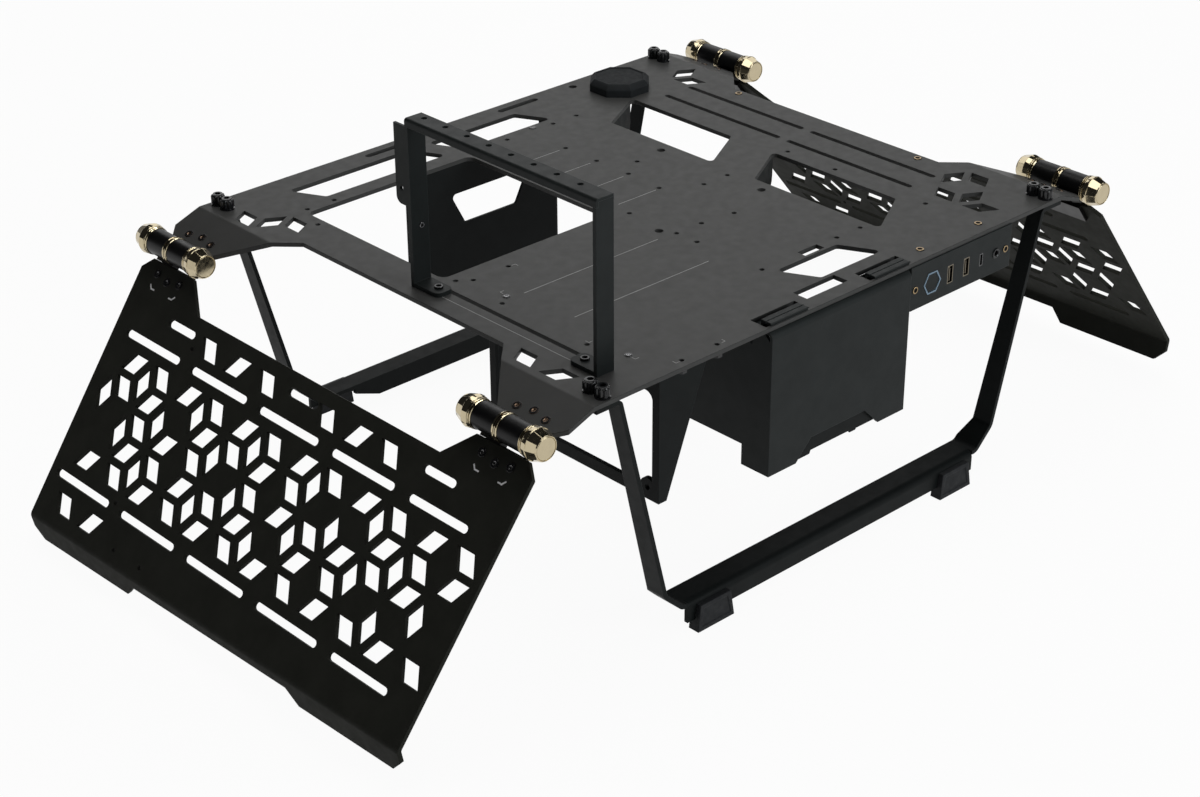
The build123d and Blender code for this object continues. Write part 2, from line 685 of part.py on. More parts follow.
def wing_outline():
    """Flat outline of the wing with its cut-outs, running on past the folded lip."""
    body = WING_EDGE + WING_SETBACK
    corner = half_wing - (hinge_y + EAR_EDGE / 2)
    ear = [
        (body, hinge_y - EAR_EDGE / 2 - WING_SETBACK),
        (WING_EDGE, hinge_y - EAR_EDGE / 2),
        (WING_EDGE, hinge_y + EAR_EDGE / 2),
        (WING_EDGE + corner, half_wing),
    ]
    tip = WING_FOLD + 2 * LIP_TAB
    taper = WING_TAPER * (tip - WING_EDGE - corner) / (WING_FOLD - WING_EDGE - corner)
    points = ear + [(tip, half_wing - taper), (tip, -half_wing)] + [(x, -y) for x, y in ear[::-1]]
    cuts = wing_cells() + wing_slots()
    cuts += [Pos(*place) * small_hole(WING_HOLE_RADIUS) for place in WING_HOLES]
    return area(*points) - cuts


def lip_cuts():
    """What is cut from the lip: the stretch between its tabs and its outer corners."""
    past = LIP_TAB + SHEET
    ramp = past - LIP_MIDDLE
    middle = area(
        (LIP_MIDDLE, LIP_TAB_NEAR_END + ramp / 2),
        (past, LIP_TAB_NEAR_END - ramp / 2),
        (past, LIP_TAB_FAR_END + ramp / 2),
        (LIP_MIDDLE, LIP_TAB_FAR_END - ramp / 2),
    )
    inset = LIP_CORNER + past - LIP_TAB
    start = LIP_TAB - LIP_CORNER
    near_edge = -half_wing
    far_edge = half_wing - WING_TAPER
    cuts = [middle]
    for edge, out in ((near_edge, -past), (far_edge, past)):
        turn = inset if out < 0 else -inset
        cuts.append(area((past, edge + out), (past, edge + turn), (start, edge), (start, edge + out)))
    return [extrude(shape, past, both=True) for shape in cuts]


def wing():
    """Right wing in its own frame: a perforated sheet with a lip folded inwards along a skewed line."""
    turn_x = cos(radians(LIP_ANGLE))
    turn_z = sin(radians(LIP_ANGLE))
    lip_end = (WING_FOLD + LIP_TAB * turn_x, -WING_RISE - LIP_TAB * turn_z)
    path = [(0, -WING_RISE), (WING_FOLD, -WING_RISE), lip_end]
    blank = along_y(folded(path, SHEET, BEND + SHEET), (-2 * half_wing, 2 * half_wing))
    lip_start = (WING_FOLD, 0, -WING_RISE)
    lip_frame = Plane(origin=lip_start, x_dir=(turn_x, 0, -turn_z), z_dir=(turn_z, 0, turn_x))
    blank = blank - [lip_frame.location * cut for cut in lip_cuts()]
    skew = Pos(WING_FOLD, 0, 0) * Rot(0, 0, -WING_FOLD_SKEW) * Pos(-WING_FOLD, 0, 0)
    return (skew * blank) & upright(wing_outline(), (-WING_RISE - 2 * LIP_TAB, 0))


right_wing = wing_frame(0) * wing()
save("right_wing", right_wing)
save("left_wing", mirrored(right_wing))


# Stands, drawn at the near end with the outer face towards the panel edge
top_x = half_width - STAND_INSET
knee_z = RAIL_TOP + KNEE_RISE
knee_x = top_x - (plate_under - knee_z) * tan(radians(STAND_LEAN))
rail_half = knee_x - KNEE_RUN
half_flange = rail_half - FLANGE_MARGIN
foot_x = half_flange - FOOT_INSET


def stand(end):
    """Strap stand: screw tabs under the plate, leaning legs, knees and a rail with two flanges."""
    right = [(top_x + STAND_TAB, plate_under), (top_x, plate_under), (knee_x, knee_z), (rail_half, RAIL_TOP)]
    path = right + [(-x, z) for x, z in right[::-1]]
    outer = -half_length
    section = make_face(offset(FilletPolyline(*path, radius=STRAP_BEND), SHEET, side=Side.LEFT))
    body = along_y(section, (outer, outer + RAIL_WIDTH))
    side_view = area(
        (outer, 0), (outer + RAIL_WIDTH, 0), (outer + RAIL_WIDTH, RAIL_TOP + SHEET),
        (outer + LEG_LOW_WIDTH, knee_z), (outer + LEG_TOP_WIDTH, PLATE_TOP), (outer, PLATE_TOP),
    )
    body &= along_x(side_view, (-half_width - STAND_TAB, half_width + STAND_TAB))
    tab_z = (plate_under - SHEET, plate_under)
    for side in (-1, 1):
        tab_x = sorted((side * (top_x + STRAP_BEND + SHEET), side * (top_x + STAND_TAB)))
        body += block(tab_x, (outer, outer + STAND_TAB_WIDTH), tab_z)
    inner = outer + RAIL_WIDTH
    flange_path = [(outer, FLANGE_BOTTOM), (outer, RAIL_TOP), (inner, RAIL_TOP)]
    flange = along_x(folded(flange_path, SHEET, BEND + SHEET), (-half_flange, half_flange))
    plain = block((-half_flange, half_flange), (outer, inner), (FLANGE_BOTTOM, RAIL_TOP + SHEET))
    end_x = half_flange - INNER_FLANGE_INSET
    low_x = end_x - INNER_FLANGE_RUN
    tip_z = RAIL_TOP - SHEET - INNER_FLANGE_TIP
    inner_flange = area(
        (-end_x, RAIL_TOP - SHEET), (-end_x, tip_z), (-low_x, FLANGE_BOTTOM),
        (low_x, FLANGE_BOTTOM), (end_x, tip_z), (end_x, RAIL_TOP - SHEET),
    )
    body = (body - plain) + flange + along_y(inner_flange, (inner - SHEET, inner))
    hole = upright(small_hole(STAND_SCREW_SHANK + FIT), tab_z)
    for side in (-1, 1):
        for inset in STAND_SCREW_INSETS:
            body -= Pos(side * stand_screw_x, outer + inset) * hole
    return body if end < 0 else mirror(body, about=Plane.XZ)


def foot(side, end):
    """Rubber foot pushed up on the stand's flange."""
    outer = -half_length
    x = (side * foot_x - FOOT_LENGTH / 2, side * foot_x + FOOT_LENGTH / 2)
    body = block(x, (outer - FOOT_WALL, outer + SHEET + FOOT_WALL), (0, FOOT_HEIGHT))
    body = chamfer(body.edges().filter_by(Axis.Z), FOOT_CHAMFER)
    groove = block(
        (x[0] - SHEET, x[1] + SHEET), (outer - FIT, outer + SHEET + FIT), (FLANGE_BOTTOM, FOOT_HEIGHT + SHEET)
    )
    rail = block(x, (outer + SHEET, outer + RAIL_WIDTH), (RAIL_TOP - SHEET - BEND - FIT, RAIL_TOP))
    body = body - groove - rail
    return body if end < 0 else mirror(body, about=Plane.XZ)


def stand_screw(x, y):
    """Knurled screw with a slotted head that clamps a stand's tab to the plate."""
    head = extrude(RegularPolygon(STAND_SCREW_RADIUS, STAND_SCREW_SIDES), STAND_SCREW_HEIGHT)
    top = STAND_SCREW_HEIGHT - STAND_SCREW_SLOT_DEPTH
    cross = block(
        (-STAND_SCREW_RADIUS, STAND_SCREW_RADIUS),
        (-STAND_SCREW_SLOT / 2, STAND_SCREW_SLOT / 2),
        (top, STAND_SCREW_HEIGHT),
    )
    shank = peg(STAND_SCREW_SHANK, (-2 * SHEET - SCREW_TAIL, 0))
    return Pos(x, y, PLATE_TOP) * (head - cross + shank)


for end_name, end in (("near", -1), ("far", 1)):
    save(f"{end_name}_stand", stand(end))
    for side_name, side in (("left", -1), ("right", 1)):
        save(f"{end_name}_{side_name}_foot", foot(side, end))
        places = [(side * stand_screw_x, end * (half_length - inset)) for inset in STAND_SCREW_INSETS]
        save(f"{end_name}_{side_name}_stand_screws", [stand_screw(x, y) for x, y in places])


# Power-supply frame
def supply_frame():
    """Upright frame that a power supply is screwed to: an open panel, a top flange and two gussets."""
    left = SUPPLY_X + board_x
    low = plate_under - SUPPLY_HEIGHT
    bar_top = low + SUPPLY_BAR
    whole = rectangle((supply_y[0], low), (supply_y[1], plate_under))
    opening = rectangle(
        (supply_y[0] + SUPPLY_POST, bar_top), (supply_y[1] - SUPPLY_POST, plate_under - SUPPLY_TOP_BAR)
    )
    panel = whole - fillet(opening.vertices(), CPU_CORNER_RADIUS)
    hole_ys = (supply_y[0] + SUPPLY_HOLE_INSET, supply_y[1] - SUPPLY_HOLE_INSET)
    hole_places = [Pos(y, bar_top) for y in hole_ys]
    for place in hole_places:
        panel += place * Circle(SUPPLY_TAB_RADIUS)
    panel = panel & whole
    for place in hole_places:
        panel -= place * Circle(SUPPLY_HOLE_RADIUS)
    body = along_x(panel, (left, left + SHEET))
    flange_x = (left + SHEET - SUPPLY_FLANGE, left)
    flange = block(flange_x, supply_y, (plate_under - SHEET, plate_under))
    gusset = area(
        (left, plate_under), (left + GUSSET_TOP, plate_under), (left + GUSSET_FOOT, low), (left, low)
    )
    for y in ((supply_y[0], supply_y[0] + SHEET), (supply_y[1] - SHEET, supply_y[1])):
        body += along_y(gusset, y)
    return body + flange


def top_screw(place):
    """Flat screw head on the plate."""
    return Pos(*place) * peg(SCREW_HEAD_RADIUS, (PLATE_TOP, PLATE_TOP + SCREW_HEAD_HEIGHT))


save("psu_frame", supply_frame())
save("psu_screws", [top_screw(place) for place in supply_screws])
save("plate_screws", [top_screw(place) for place in flange_screws + side_screws + [drive_screw]])


def press_nut(place):
    """Threaded nut pressed into the plate from below."""
    nut = RegularPolygon(NUT_RADIUS, 6) - small_hole(SCREW_RADIUS)
    return Pos(*place) * upright(nut, (plate_under - NUT_HEIGHT, plate_under))


save("press_nuts", [press_nut(place) for place in nut_places])


# Drive box and drive panel
def drive_box():
    """Folded holder for drives: a notched front with a top flange and hooks, a stepped side and a return."""
    front = -half_length - BOX_PROUD
    inside = front + THIN_SHEET
    back = front + BOX_DEPTH
    low = plate_under - BOX_HEIGHT
    flange_under = plate_under - THIN_SHEET
    hook_back = hook_y + THIN_SHEET / 4
    section = folded([(front, low), (front, plate_under), (hook_back, plate_under)], THIN_SHEET, BOX_TOP_BEND)
    body = along_x(section, (box_left, box_right))
    step_y = front + BOX_STEP_DEPTH
    side = area(
        (inside, low), (step_y, low), (step_y, low + BOX_STEP), (back, low + BOX_STEP),
        (back, flange_under), (inside + BOX_TOP_BEND, flange_under), (inside, flange_under - BOX_TOP_BEND),
    )
    body += along_x(side, (box_left, box_left + THIN_SHEET))
    body += block((box_left, box_left + BOX_FLANGE), (hook_back, back), (flange_under, plate_under))
    return_z = (low, flange_under - BOX_TOP_BEND)
    body += block((box_right - THIN_SHEET, box_right), (inside, front + BOX_RETURN), return_z)
    middle = (box_left + box_right) / 2
    half = BOX_NOTCH_WIDTH / 2
    notch_top = low + BOX_NOTCH_HEIGHT
    notch = area(
        (middle - half, low), (middle + half, low),
        (middle + half - BOX_NOTCH_HEIGHT, notch_top), (middle - half + BOX_NOTCH_HEIGHT, notch_top),
    )
    body -= along_y(notch, (front - SHEET, inside))
    lip_half = BOX_LIP_SPAN / 2
    lip_x = (middle - lip_half, middle + lip_half)
    lip_back = inside + BOX_LIP_DEPTH
    lip_top = low + 2 * BOX_NOTCH_HEIGHT
    lip = block(lip_x, (lip_back - THIN_SHEET, lip_back), (low, lip_top))
    lip += block(lip_x, (inside, lip_back), (lip_top - THIN_SHEET, lip_top))
    half_step = half - 2 * BOX_NOTCH_HEIGHT
    lip -= block((middle - half_step, middle + half_step), (inside, lip_back), (low, low + BOX_LIP_STEP))
    body += lip
    for span in hook_spans:
        strip_y = (hook_back - HOOK_WIDTH, hook_back)
        strip = block(span, strip_y, (PLATE_TOP + FIT, PLATE_TOP + HOOK_RISE))
        groove_y = (hook_y - HOOK_WIDTH / 2, hook_y - HOOK_WIDTH / 2 + HOOK_GROOVE)
        strip -= block(span, groove_y, (PLATE_TOP + HOOK_RISE - HOOK_GROOVE, PLATE_TOP + HOOK_RISE))
        body += strip
        body += block(span, (hook_back - THIN_SHEET, hook_back), (flange_under, PLATE_TOP + HOOK_RISE))
    return body


def drive_panel():
    """Panel under the far edge: a windowed sheet with a top flange and two side returns."""
    near = DRIVE_PANEL_Y + BOARD_Y
    low = plate_under - DRIVE_PANEL_DROP
    path = [(drive_left, near + DRIVE_PANEL_RETURN), (drive_left, near), (drive_right, near),
            (drive_right, near + DRIVE_PANEL_RETURN)]
    walls = make_face(offset(FilletPolyline(*path, radius=BEND + THIN_SHEET), THIN_SHEET, side=Side.LEFT))
    body = upright(walls, (low, plate_under))
    middle = (drive_left + drive_right) / 2 + DRIVE_WINDOW_SHIFT
    top, bottom = [plate_under + SHEET - drop for drop in DRIVE_WINDOW_DROPS]
    window = area(
        (middle - DRIVE_WINDOW_TOP / 2, top), (middle + DRIVE_WINDOW_TOP / 2, top),
        (middle + DRIVE_WINDOW_BOTTOM / 2, bottom), (middle - DRIVE_WINDOW_BOTTOM / 2, bottom),
    )
    window = fillet(window.vertices(), DRIVE_WINDOW_CORNER)
    body -= along_y(window, (near - SHEET, near + THIN_SHEET + FIT))
    flange_x = (drive_left + THIN_SHEET, drive_right - THIN_SHEET)
    flange_y = (near + THIN_SHEET, near + DRIVE_PANEL_FLANGE)
    return body + block(flange_x, flange_y, (plate_under - THIN_SHEET, plate_under))


save("drive_box", drive_box())
save("drive_panel", drive_panel())


# Expansion-card bracket
bar_x = (BAR_LEFT + board_x, BAR_LEFT + board_x + BAR_WIDTH)
bar_y = (POST_NEAR_Y + BOARD_Y, POST_FAR_Y + BOARD_Y)
bar_z = PLATE_TOP + BAR_RISE


def card_bar():
    """Bar that expansion cards are screwed to, with a lip down its outer edge."""
    body = block(bar_x, bar_y, (bar_z - THIN_SHEET, bar_z))
    body += block((bar_x[0], bar_x[0] + THIN_SHEET), bar_y, (bar_z - BAR_LIP, bar_z))
    body = fillet(body.edges().filter_by(Axis.Y).sort_by(Axis.X)[:2].sort_by(Axis.Z)[-1:], BEND)
    for index in range(CARD_COUNT):
        place = on_board(CARD_HOLE_X, CARD_FIRST_Y - index * CARD_PITCH)
        body -= rod(CARD_HOLE_RADIUS, *place, (bar_z - BAR_LIP, bar_z + SHEET))
    return body


def card_post(near):
    """Post of the card bracket: an upright strip under the bar with a screwed foot."""
    inner = 1 if near else -1
    outer_y = bar_y[0] if near else bar_y[1]
    web_y = sorted((outer_y, outer_y + inner * SHEET))
    foot_y = sorted((outer_y, outer_y + inner * POST_FOOT))
    neck = (bar_x[0] + THIN_SHEET + FIT, bar_z - BAR_LIP - FIT)
    web = area(
        (bar_x[0], PLATE_TOP), (bar_x[1], PLATE_TOP), (bar_x[1], bar_z - THIN_SHEET),
        (neck[0], bar_z - THIN_SHEET), neck, (bar_x[0], neck[1]),
    )
    foot_pad = block(bar_x, foot_y, (PLATE_TOP, PLATE_TOP + SHEET))
    free_end = foot_pad.edges().filter_by(Axis.Z).sort_by(Axis.Y)
    foot_pad = fillet(free_end[-2:] if near else free_end[:2], BAR_WIDTH / 3)
    body = along_y(web, web_y) + foot_pad
    screw_place = post_screws[0] if near else post_screws[1]
    hole = Pos(*screw_place) * small_hole(STAND_SCREW_SHANK + FIT)
    return body - upright(hole, (PLATE_TOP, PLATE_TOP + 2 * SHEET))


def post_wing():
    """Side flange at the top of the far post, with a small hole near its rounded lower end."""
    top = bar_z - BAR_LIP - FIT
    low = top - POST_WING_HEIGHT
    start = bar_y[1] - SHEET
    shape = rectangle((start, low), (start + SHEET + POST_WING, top))
    corner = shape.vertices().sort_by(Axis.Y)[:2].sort_by(Axis.X)[-1:]
    shape = fillet(corner, POST_WING_CORNER)
    shape -= Pos(bar_y[1] + POST_WING / 2, low + POST_WING) * small_hole(SCREW_RADIUS)
    return along_x(shape, (bar_x[0], bar_x[0] + THIN_SHEET))


def post_screw(place):
    """Foot screw of a post."""
    body = screw(POST_SCREW_RADIUS, POST_SCREW_HEIGHT, STAND_SCREW_SHANK, 2 * SHEET + SCREW_TAIL)
    return Pos(*place, PLATE_TOP + SHEET) * body


save("card_bar", card_bar())
save("near_card_post", card_post(True))
save("far_card_post", card_post(False) + post_wing())
save("post_screws", [post_screw(place) for place in post_screws])


# Input and output panel
board_front = panel_front + BOARD_BEHIND
panel_left = half_width - PANEL_INSET


def on_panel(inset):
    """Place across the bench of a panel feature measured from the plate's right edge."""
    return half_width - inset


def hexagon(flats):
    """Flat hexagon standing on a flat, of a given size across its flats."""
    return RegularPolygon(flats / sqrt(3), 6)


button_x = on_panel(BUTTON_INSET)
ring_flats = BUTTON_FLATS + 2 * GAP + 2 * BUTTON_RING
socket_shapes = [
    ("left_usb_a", on_panel(USB_A_INSETS[0]), USB_A),
    ("right_usb_a", on_panel(USB_A_INSETS[1]), USB_A),
    ("usb_c", on_panel(USB_C_INSET), USB_C),
]


def io_panel():
    """Panel under the plate's near edge, with a flange screwed under the plate."""
    x = (panel_left, panel_left + PANEL_WIDTH)
    low = plate_under - PANEL_DROP
    face = rectangle((x[0], low), (x[1], plate_under))
    face = fillet(face.vertices().sort_by(Axis.Y)[:2], PANEL_CORNER)
    face -= Pos(button_x, panel_mid_z) * hexagon(ring_flats + 2 * FIT)
    for name, place, size in socket_shapes:
        face -= Pos(place, panel_mid_z) * Rectangle(size[0] + 2 * FIT, size[1] + 2 * FIT)
    face -= Pos(on_panel(AUDIO_INSET), panel_mid_z) * small_hole(AUDIO_RADIUS + FIT)
    for place in PANEL_SCREW_INSETS:
        face -= Pos(on_panel(place), panel_mid_z) * small_hole(SCREW_RADIUS + FIT)
    body = along_y(face, (panel_front, panel_front + THIN_SHEET))
    flange_y = (panel_front + THIN_SHEET, panel_front + PANEL_FLANGE)
    return body + block(x, flange_y, (plate_under - THIN_SHEET, plate_under))


def io_board():
    """Circuit board behind the panel, held by the panel's two screws."""
    x = (panel_left + IO_BOARD_MARGIN, panel_left + PANEL_WIDTH - IO_BOARD_MARGIN)
    half = IO_BOARD_HEIGHT / 2
    face = rectangle((x[0], panel_mid_z - half), (x[1], panel_mid_z + half))
    for place in PANEL_SCREW_INSETS:
        face -= Pos(on_panel(place), panel_mid_z) * small_hole(SCREW_RADIUS + FIT)
    return along_y(face, (board_front, board_front + IO_BOARD))


def socket(x, size):
    """Data socket standing on the board, with an open mouth and a contact tongue."""
    outer = Pos(x, panel_mid_z) * Rectangle(*size)
    mouth = Pos(x, panel_mid_z) * Rectangle(size[0] - 2 * SOCKET_WALL, size[1] - 2 * SOCKET_WALL)
    tongue = Pos(x, panel_mid_z) * Rectangle(size[0] / 4, size[1] - 4 * SOCKET_WALL)
    body = along_y(outer, (panel_front, board_front))
    body -= along_y(mouth, (panel_front, panel_front + SOCKET_DEPTH))
    return body + along_y(tongue, (panel_front + 2 * SOCKET_WALL, panel_front + SOCKET_DEPTH))


def audio_jack():
    """Round audio socket standing on the board."""
    centre = Pos(on_panel(AUDIO_INSET), panel_mid_z)
    body = along_y(centre * RegularPolygon(AUDIO_RADIUS, SMALL_SIDES), (panel_front, board_front))
    return body - along_y(centre * small_hole(AUDIO_BORE), (panel_front, panel_front + SOCKET_DEPTH))


def power_button():
    """Hexagonal button with a stem that enters the switch."""
    cap = Pos(button_x, panel_mid_z) * hexagon(BUTTON_FLATS)
    body = along_y(cap, (panel_front, panel_front + BUTTON_DEPTH))
    body = chamfer(body.faces().sort_by(Axis.Y)[0].edges(), GAP)
    tip = board_front - SWITCH_DEPTH + SWITCH_BORE - BUTTON_TRAVEL - GAP
    return body + rod_y(BUTTON_STEM, (panel_front + BUTTON_DEPTH, tip), button_x, panel_mid_z)


def button_ring():
    """Light ring round the button, pressed into the panel."""
    face = Pos(button_x, panel_mid_z) * hexagon(ring_flats)
    face -= Pos(button_x, panel_mid_z) * hexagon(BUTTON_FLATS + 2 * GAP)
    return along_y(face, (panel_front - GAP, panel_front + BUTTON_RING_DEPTH))


def power_switch():
    """Switch on the board, with a bore for the button's stem."""
    front = board_front - SWITCH_DEPTH
    face = Pos(button_x, panel_mid_z) * Rectangle(SWITCH_SIZE, SWITCH_SIZE)
    body = along_y(face, (front, board_front))
    return body - rod_y(BUTTON_STEM + FIT, (front, front + SWITCH_BORE), button_x, panel_mid_z)


def panel_screw(x):
    """Screw through the panel that holds the board behind it."""
    length = BOARD_BEHIND + IO_BOARD + SCREW_TAIL
    body = screw(SCREW_HEAD_RADIUS, SCREW_HEAD_HEIGHT, SCREW_RADIUS, length)
    return Pos(x, panel_front, panel_mid_z) * Rot(90, 0, 0) * body


save("io_panel", io_panel())
save("io_board", io_board())
for name, place, size in socket_shapes:
    save(name, socket(place, size))
save("audio_jack", audio_jack())
save("power_button", power_button())
save("button_ring", button_ring())
save("power_switch", power_switch())
save("panel_screws", [panel_screw(on_panel(x)) for x in PANEL_SCREW_INSETS])


# Octagonal pad
def corner_pad():
    """Octagonal pad on the plate with a sunk top."""
    outer = RegularPolygon(PAD_FLATS / 2 / cos(radians(22.5)), 8, rotation=22.5)
    inner = RegularPolygon((PAD_FLATS / 2 - PAD_RIM) / cos(radians(22.5)), 8, rotation=22.5)
    body = upright(outer, (0, PAD_HEIGHT)) - upright(inner, (PAD_HEIGHT - PAD_RECESS, PAD_HEIGHT))
    return Pos(half_width - PAD_INSET, PAD_Y + BOARD_Y, PLATE_TOP) * body


save("corner_pad", corner_pad())
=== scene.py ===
from math import atan2, cos, degrees, pi, radians, sin

import bmesh
import bpy
from mathutils import Matrix, Vector


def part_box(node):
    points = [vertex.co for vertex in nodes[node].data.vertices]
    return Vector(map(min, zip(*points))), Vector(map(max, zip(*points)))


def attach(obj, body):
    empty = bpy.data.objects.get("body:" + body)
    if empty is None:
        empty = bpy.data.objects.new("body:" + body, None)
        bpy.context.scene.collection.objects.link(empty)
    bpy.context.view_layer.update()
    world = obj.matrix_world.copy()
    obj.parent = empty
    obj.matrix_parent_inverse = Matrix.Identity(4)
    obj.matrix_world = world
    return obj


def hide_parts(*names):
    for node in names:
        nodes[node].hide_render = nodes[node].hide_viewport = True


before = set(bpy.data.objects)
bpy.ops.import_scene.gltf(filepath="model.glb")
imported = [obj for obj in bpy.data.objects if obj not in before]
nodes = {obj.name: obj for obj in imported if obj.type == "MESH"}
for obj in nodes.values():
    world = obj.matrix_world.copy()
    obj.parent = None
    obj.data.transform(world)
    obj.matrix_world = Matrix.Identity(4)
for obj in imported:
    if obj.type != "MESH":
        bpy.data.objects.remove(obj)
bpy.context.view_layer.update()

MM = 0.001


def lowest(node):
    """The lowest corner of a solid, in millimetres."""
    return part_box(node)[0] / MM


def highest(node):
    """The highest corner of a solid, in millimetres."""
    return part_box(node)[1] / MM


def middle(node):
    """The middle of a solid, in millimetres."""
    return (lowest(node) + highest(node)) / 2.0


# Places from the frame, in millimetres
PLATE_TOP = highest("main_plate").z
PLATE_UNDER = highest("near_stand").z
PANEL_FRONT = lowest("io_panel").y
PANEL_MID = middle("io_board").z
BARREL_END = lowest("hinge_cap_far_right").y - middle("hinge_ring_far_right").y

# Slopes of the hinge ears and the wings in degrees, and how far their faces lie from the axis
EAR_ANGLE = 20.0
WING_ANGLE = 52.0
EAR_FACE = -5.0
WING_FACE = -5.6

# Directions along X and along Y
SIDES = {"left": -1, "right": 1}
ENDS = {"near": -1, "far": 1}


# Materials

NOISE_LOW = 0.3
NOISE_HIGH = 0.7
BEVEL_SAMPLES = 4
EDGE_STARTS = 0.995
EDGE_FULL = 0.85
GLOSS_TO_CLOUD = 0.4


def new_material(name):
    material = bpy.data.materials.new(name)
    material.use_nodes = True
    tree = material.node_tree
    coords = tree.nodes.new("ShaderNodeTexCoord")
    return material, tree, tree.nodes["Principled BSDF"], coords.outputs["Object"]


def noise(tree, coords, size, detail=2.0):
    """Grey noise with features about size millimetres across."""
    node = tree.nodes.new("ShaderNodeTexNoise")
    node.inputs["Scale"].default_value = 1.0 / (size * MM)
    node.inputs["Detail"].default_value = detail
    tree.links.new(coords, node.inputs["Vector"])
    return node.outputs["Fac"]


def spread(tree, value, low, high):
    """The noise stretched to a range of values."""
    node = tree.nodes.new("ShaderNodeMapRange")
    node.inputs["From Min"].default_value = NOISE_LOW
    node.inputs["From Max"].default_value = NOISE_HIGH
    node.inputs["To Min"].default_value = low
    node.inputs["To Max"].default_value = high
    tree.links.new(value, node.inputs["Value"])
    return node.outputs["Result"]


def tint(tree, value, first, second):
    """The noise as a colour between two."""
    node = tree.nodes.new("ShaderNodeValToRGB")
    start, end = node.color_ramp.elements
    start.position = NOISE_LOW
    end.position = NOISE_HIGH
    start.color = (*first, 1.0)
    end.color = (*second, 1.0)
    tree.links.new(value, node.inputs["Fac"])
    return node.outputs["Color"]


def raise_by(tree, shader, height, depth, strength, base=None):
    """Bumps on the shader, over the base normals where there are some."""
    node = tree.nodes.new("ShaderNodeBump")
    node.inputs["Distance"].default_value = depth * MM
    node.inputs["Strength"].default_value = strength
    tree.links.new(height, node.inputs["Height"])
    if base:
        tree.links.new(base, node.inputs["Normal"])
    tree.links.new(node.outputs["Normal"], shader.inputs["Normal"])


def rounded_edges(tree, width):
    """Normals rounded over the edges, and how near each point is to an edge."""
    bevel = tree.nodes.new("ShaderNodeBevel")
    bevel.samples = BEVEL_SAMPLES
    bevel.inputs["Radius"].default_value = width * MM
    plain = tree.nodes.new("ShaderNodeNewGeometry")
    match = tree.nodes.new("ShaderNodeVectorMath")
    match.operation = "DOT_PRODUCT"
    tree.links.new(bevel.outputs["Normal"], match.inputs[0])
    tree.links.new(plain.outputs["Normal"], match.inputs[1])
    near = tree.nodes.new("ShaderNodeMapRange")
    near.inputs["From Min"].default_value = EDGE_STARTS
    near.inputs["From Max"].default_value = EDGE_FULL
    tree.links.new(match.outputs["Value"], near.inputs["Value"])
    return bevel.outputs["Normal"], near.outputs["Result"]


def surface(name, colour, roughness, vary=0.12, cloud=18.0, grain=0.7, depth=0.02,
            strength=0.25, metallic=0.0, specular=0.5, edge=0.0, edge_light_scale=2.0):
    """A finish with clouds in colour and gloss, a fine raised grain, and edges rounded, with
    painted light on them: a painted highlight where the edge factor is above 1, painted shade where
    it is below 1.
    """
    material, tree, shader, coords = new_material(name)
    shader.inputs["Metallic"].default_value = metallic
    shader.inputs["Specular IOR Level"].default_value = specular
    clouds = noise(tree, coords, cloud, 4.0)
    dark = [c * (1.0 - vary) for c in colour]
    light = [c * (1.0 + vary) for c in colour]
    paint = tint(tree, clouds, dark, light)
    base = None
    if edge:
        base, near = rounded_edges(tree, edge)
        # Painted light on the edges: near an edge the colour is scaled by the edge factor, a
        # painted highlight above 1 and painted shade below 1
        edge_light_mix = tree.nodes.new("ShaderNodeMix")
        edge_light_mix.data_type = "RGBA"
        tree.links.new(near, edge_light_mix.inputs["Factor"])
        tree.links.new(paint, edge_light_mix.inputs["A"])
        edge_light_mix.inputs["B"].default_value = (*[c * edge_light_scale for c in colour], 1.0)
        paint = edge_light_mix.outputs["Result"]
    tree.links.new(paint, shader.inputs["Base Color"])
    gloss = noise(tree, coords, cloud * GLOSS_TO_CLOUD, 3.0)
    tree.links.new(spread(tree, gloss, *roughness), shader.inputs["Roughness"])
    raise_by(tree, shader, noise(tree, coords, grain), depth, strength, base)
    return material


